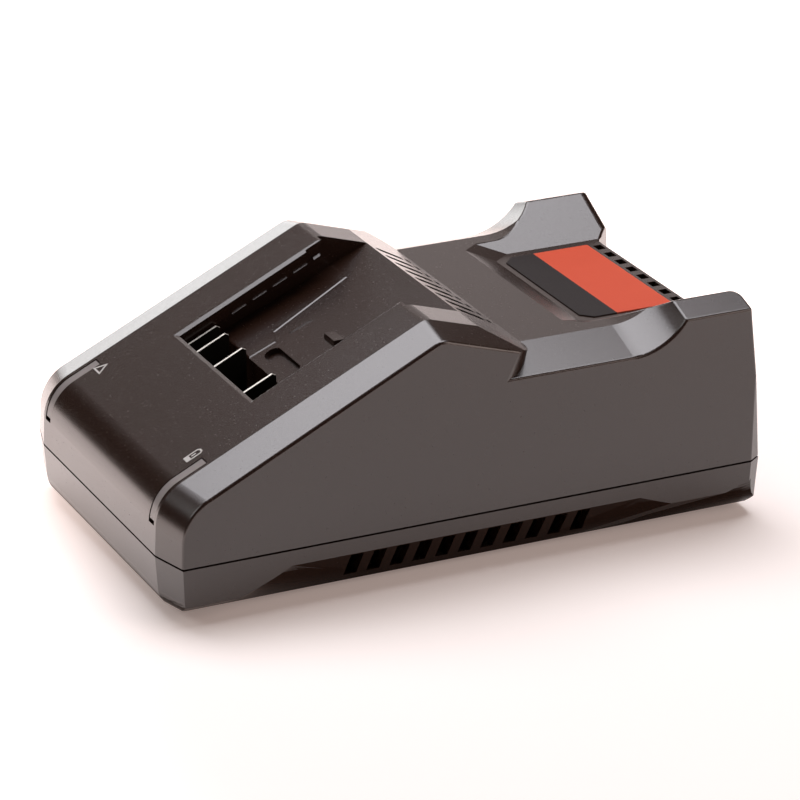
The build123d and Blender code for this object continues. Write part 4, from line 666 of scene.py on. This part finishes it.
@dataclass
class PrintedMarks:
    """Thin printed marks on the sloping top. Lengths are in millimetres.

    Stations are distances from the nose. The ridge's height is the one before its edge is rounded.
    """

    half_length: float = 95.0
    ridge_station: float = 84.5
    ridge_height: float = 76.5
    slope_rise: float = 0.484
    lift: float = 0.01
    thickness: float = 0.05
    fault_x: float = -36.6
    fault_station: float = 14.5
    fault_width: float = 5.2
    fault_run: float = 3.9
    battery_x: float = 35.5
    battery_station: float = 13.3
    battery_width: float = 2.9
    battery_run: float = 5.2
    battery_corner: float = 0.55
    battery_base: float = 1.5
    bar_half: float = 0.25
    bar_start: float = 2.0
    bar_end: float = 3.4
    line: float = 0.5

    def on_slope(self, x: float, station: float, lift: float) -> Vector:
        """Point above the sloping top.

        Args:
            x: Across the charger.
            station: Distance from the nose.
            lift: Distance off the surface.

        Returns:
            The point, in metres.
        """
        height = self.ridge_height - (self.ridge_station - station) * self.slope_rise
        normal = Vector((0.0, -self.slope_rise, 1.0)).normalized()
        return (Vector((x, station - self.half_length, height)) + normal * lift) * MM

    def strokes(self, mark: Mark) -> list[Outline]:
        """Outlines of a mark's flat strokes.

        Args:
            mark: Which mark.

        Returns:
            Convex outlines, each a list of x and station pairs.
        """
        return self.triangle() if mark is Mark.FAULT else self.battery()

    def triangle(self) -> list[Outline]:
        """Strokes of the open triangle."""
        x, low, half = self.fault_x, self.fault_station, self.fault_width / 2
        outer = [(x - half, low), (x + half, low), (x, low + self.fault_run)]
        middle = low + self.fault_run / 3
        shrink = 1 - self.line * 3 / self.fault_run
        inner = [(x + (a - x) * shrink, middle + (b - middle) * shrink) for a, b in outer]
        return self.ring(outer, inner)

    def battery(self) -> list[Outline]:
        """Strokes of the battery sign: its outline with a thick base, and one bar inside."""
        x, low, half = self.battery_x, self.battery_station, self.battery_width / 2
        line, top = self.line, low + self.battery_run
        cut = half * self.battery_corner
        nick = cut + line / 3
        outer = [
            (x - half, low), (x + half, low), (x + half, top - cut),
            (x + half - cut, top), (x - half + cut, top), (x - half, top - cut),
        ]
        base = low + self.battery_base
        inner = [
            (x - half + line, base), (x + half - line, base), (x + half - line, top - nick),
            (x + half - nick, top - line), (x - half + nick, top - line),
            (x - half + line, top - nick),
        ]
        left, right = x - self.bar_half, x + self.bar_half
        start, end = low + self.bar_start, low + self.bar_end
        bar = [(left, start), (right, start), (right, end), (left, end)]
        return self.ring(outer, inner) + [bar]

    @staticmethod
    def ring(outer: Outline, inner: Outline) -> list[Outline]:
        """Splits the band between two outlines into four-sided strokes.

        Args:
            outer: Outer outline.
            inner: Inner outline with as many corners.

        Returns:
            One outline for each side.
        """
        count = len(outer)
        return [
            [outer[i], outer[(i + 1) % count], inner[(i + 1) % count], inner[i]]
            for i in range(count)
        ]

    def thicken(self, work: bmesh.types.BMesh, outline: Outline) -> None:
        """Adds one stroke as a thin closed solid on the sloping top.

        Args:
            work: Mesh that gets the stroke.
            outline: The stroke's convex outline.
        """
        top = self.lift + self.thickness
        low = [work.verts.new(self.on_slope(x, station, self.lift)) for x, station in outline]
        high = [work.verts.new(self.on_slope(x, station, top)) for x, station in outline]
        work.faces.new(high)
        work.faces.new(list(reversed(low)))
        for i in range(len(outline)):
            j = (i + 1) % len(outline)
            work.faces.new((low[i], low[j], high[j], high[i]))

    def build(self) -> None:
        """Makes both marks as thin solid pieces."""
        ink = INK.build()
        for mark in Mark:
            mesh = bpy.data.meshes.new(mark.value)
            work = bmesh.new()
            for outline in self.strokes(mark):
                self.thicken(work, outline)
            bmesh.ops.recalc_face_normals(work, faces=work.faces)
            work.to_mesh(mesh)
            work.free()
            piece = bpy.data.objects.new(mark.value, mesh)
            piece.data.materials.append(ink)
            bpy.context.scene.collection.objects.link(piece)
            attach(piece, ROOT)
            log.info("%s: %d faces", mark.value, len(mesh.polygons))


# ---------------------------------------------------------------- studio
@dataclass
class Softbox:
    """A rectangular studio light. Lengths are in metres.

    The direction points from the object to the light, and across runs along its width. A
    mirror would show the light's face at the given radiance, where 1 is white.
    """

    name: str
    direction: tuple[float, float, float]
    across: tuple[float, float, float]
    distance: float
    width: float
    height: float
    radiance: float
    colour: str = "#FFFFFF"

    def build(self, target: Vector) -> None:
        """Hangs the light so that it faces the target.

        Args:
            target: Point that the light faces.
        """
        data = bpy.data.lights.new(self.name, "AREA")
        data.shape = "RECTANGLE"
        data.size = self.width
        data.size_y = self.height
        data.energy = self.radiance * math.pi * self.width * self.height
        data.color = linear(self.colour)[:3]
        lamp = bpy.data.objects.new(self.name, data)
        away = Vector(self.direction).normalized()
        side = Vector(self.across)
        side = (side - away * side.dot(away)).normalized()
        turned = Matrix((side, away.cross(side), away)).transposed()
        lamp.rotation_mode = "QUATERNION"
        lamp.rotation_quaternion = turned.to_quaternion()
        lamp.location = target + away * self.distance
        bpy.context.scene.collection.objects.link(lamp)
        log.info("light %s", self.name)


@dataclass
class Studio:
    """Pale floor, soft lights and the camera.

    The floor also glows a little to the eye, more with the distance from the object, so that
    it runs into a white background. Lengths are in millimetres.
    """

    camera_place: tuple[float, float, float] = (1032.3, -483.2, 505.2)
    camera_target: tuple[float, float, float] = (-1.6, 3.05, 31.8)
    lens: float = 185.7
    sensor: float = 36.0
    view_start: float = 50.0
    view_end: float = 20000.0
    light_target: tuple[float, float, float] = (0.0, 0.0, 40.0)
    floor_half: float = 4000.0
    floor_colour: str = "#F4F0ED"
    glow_colour: str = "#FFE4DA"
    glow_near: float = 0.22
    glow_far: float = 1.0
    glow_centre: tuple[float, float] = (140.0, 60.0)
    glow_start: float = 170.0
    glow_end: float = 290.0
    world_colour: str = "#FFEFE8"
    world_strength: float = 0.03
    lights: list[Softbox] = field(default_factory=lambda: [
        Softbox(
            "overhead", (-0.30, 0.08, 0.95), (-0.64, -0.75, -0.14), 1.3, 1.5, 0.87, 4.8, "#FCFAFF",
        ),
        Softbox("strip", (-0.974, 0.122, 0.178), (0.12, 0.97, 0.0), 1.3, 0.55, 0.36, 2.8),
        Softbox("left", (-0.82, 0.43, 0.39), (0.43, 0.82, 0.0), 1.5, 0.75, 0.6, 0.46, "#FFF2F0"),
        Softbox(
            "low_strip", (-0.83, 0.55, 0.09), (0.55, 0.83, 0.0), 1.5, 0.75, 0.26, 1.1, "#FFF2F0",
        ),
        Softbox("wall", (-0.836, 0.04, 0.55), (0.05, 1.0, 0.0), 1.5, 0.8, 0.5, 0.14, "#FFDDD0"),
        Softbox("fill", (0.6, 0.7, 0.4), (0.7, -0.6, 0.0), 1.4, 0.9, 0.9, 2.2, "#FFE9DF"),
        Softbox("front", (-0.1, -0.75, 0.65), (1.0, 0.0, 0.0), 1.4, 0.8, 0.6, 2.0),
    ])

    def build(self) -> None:
        """Makes the floor, the world, the lights and the camera."""
        self.build_floor()
        self.build_world()
        for light in self.lights:
            light.build(Vector(self.light_target) * MM)
        self.build_camera()

    def build_floor(self) -> None:
        """Lays the plain pale floor under the feet."""
        mesh = bpy.data.meshes.new("studio_floor")
        half = self.floor_half * MM
        square = [(-half, -half, 0), (half, -half, 0), (half, half, 0), (-half, half, 0)]
        mesh.from_pydata(square, [], [(0, 1, 2, 3)])
        floor = bpy.data.objects.new("studio_floor", mesh)
        material = bpy.data.materials.new("seamless_paper")
        material.use_nodes = True
        tree = material.node_tree
        tree.nodes.clear()
        shader = add_node(tree, "ShaderNodeBsdfDiffuse", None, {"Color": linear(self.floor_colour)})
        ray = add_node(tree, "ShaderNodeLightPath")
        direct = add_node(tree, "ShaderNodeMath", {"operation": "ADD"}, {
            0: ray.outputs["Is Camera Ray"],
            1: ray.outputs["Is Glossy Ray"],
        })
        seen = add_node(tree, "ShaderNodeMath", {"operation": "ADD", "use_clamp": True}, {
            0: direct.outputs[0],
            1: ray.outputs["Is Transmission Ray"],
        })
        place = add_node(tree, "ShaderNodeTexCoord").outputs["Object"]
        centre = (self.glow_centre[0] * MM, self.glow_centre[1] * MM, 0.0)
        distance = add_node(tree, "ShaderNodeVectorMath", {"operation": "DISTANCE"}, {
            0: place,
            1: centre,
        })
        rise = add_node(tree, "ShaderNodeMapRange", {"interpolation_type": "SMOOTHSTEP"}, {
            "Value": distance.outputs["Value"],
            "From Min": self.glow_start * MM,
            "From Max": self.glow_end * MM,
            "To Min": self.glow_near,
            "To Max": self.glow_far,
        })
        strength = add_node(tree, "ShaderNodeMath", {"operation": "MULTIPLY"}, {
            0: seen.outputs[0],
            1: rise.outputs["Result"],
        })
        glow = add_node(tree, "ShaderNodeEmission", None, {
            "Color": linear(self.glow_colour),
            "Strength": strength.outputs[0],
        })
        both = add_node(tree, "ShaderNodeAddShader", None, {
            0: shader.outputs[0],
            1: glow.outputs[0],
        })
        add_node(tree, "ShaderNodeOutputMaterial", None, {"Surface": both.outputs[0]})
        mesh.materials.append(material)
        bpy.context.scene.collection.objects.link(floor)

    def build_world(self) -> None:
        """Fills the room with faint, even light."""
        world = bpy.data.worlds.new("studio_room")
        world.use_nodes = True
        tree = world.node_tree
        tree.nodes.clear()
        light = add_node(tree, "ShaderNodeBackground", None, {
            "Color": linear(self.world_colour),
            "Strength": self.world_strength,
        })
        add_node(tree, "ShaderNodeOutputWorld", None, {"Surface": light.outputs[0]})
        bpy.context.scene.world = world

    def build_camera(self) -> None:
        """Sets up the long-lens camera."""
        data = bpy.data.cameras.new("studio_camera")
        data.sensor_width = self.sensor
        data.lens = self.lens
        data.clip_start = self.view_start * MM
        data.clip_end = self.view_end * MM
        camera = bpy.data.objects.new("studio_camera", data)
        place = Vector(self.camera_place) * MM
        back = place - Vector(self.camera_target) * MM
        camera.location = place
        camera.rotation_mode = "QUATERNION"
        camera.rotation_quaternion = (-back).to_track_quat("-Z", "Y")
        bpy.context.scene.collection.objects.link(camera)
        bpy.context.scene.camera = camera


def main() -> None:
    logging.basicConfig(level=logging.INFO, format="%(name)s %(message)s")
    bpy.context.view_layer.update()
    Housing().dress()
    Contacts().dress()
    Electronics().dress()
    PrintedMarks().build()
    Studio().build()
    bpy.context.scene.view_settings.view_transform = "Standard"


if __name__ == "__main__":
    main()
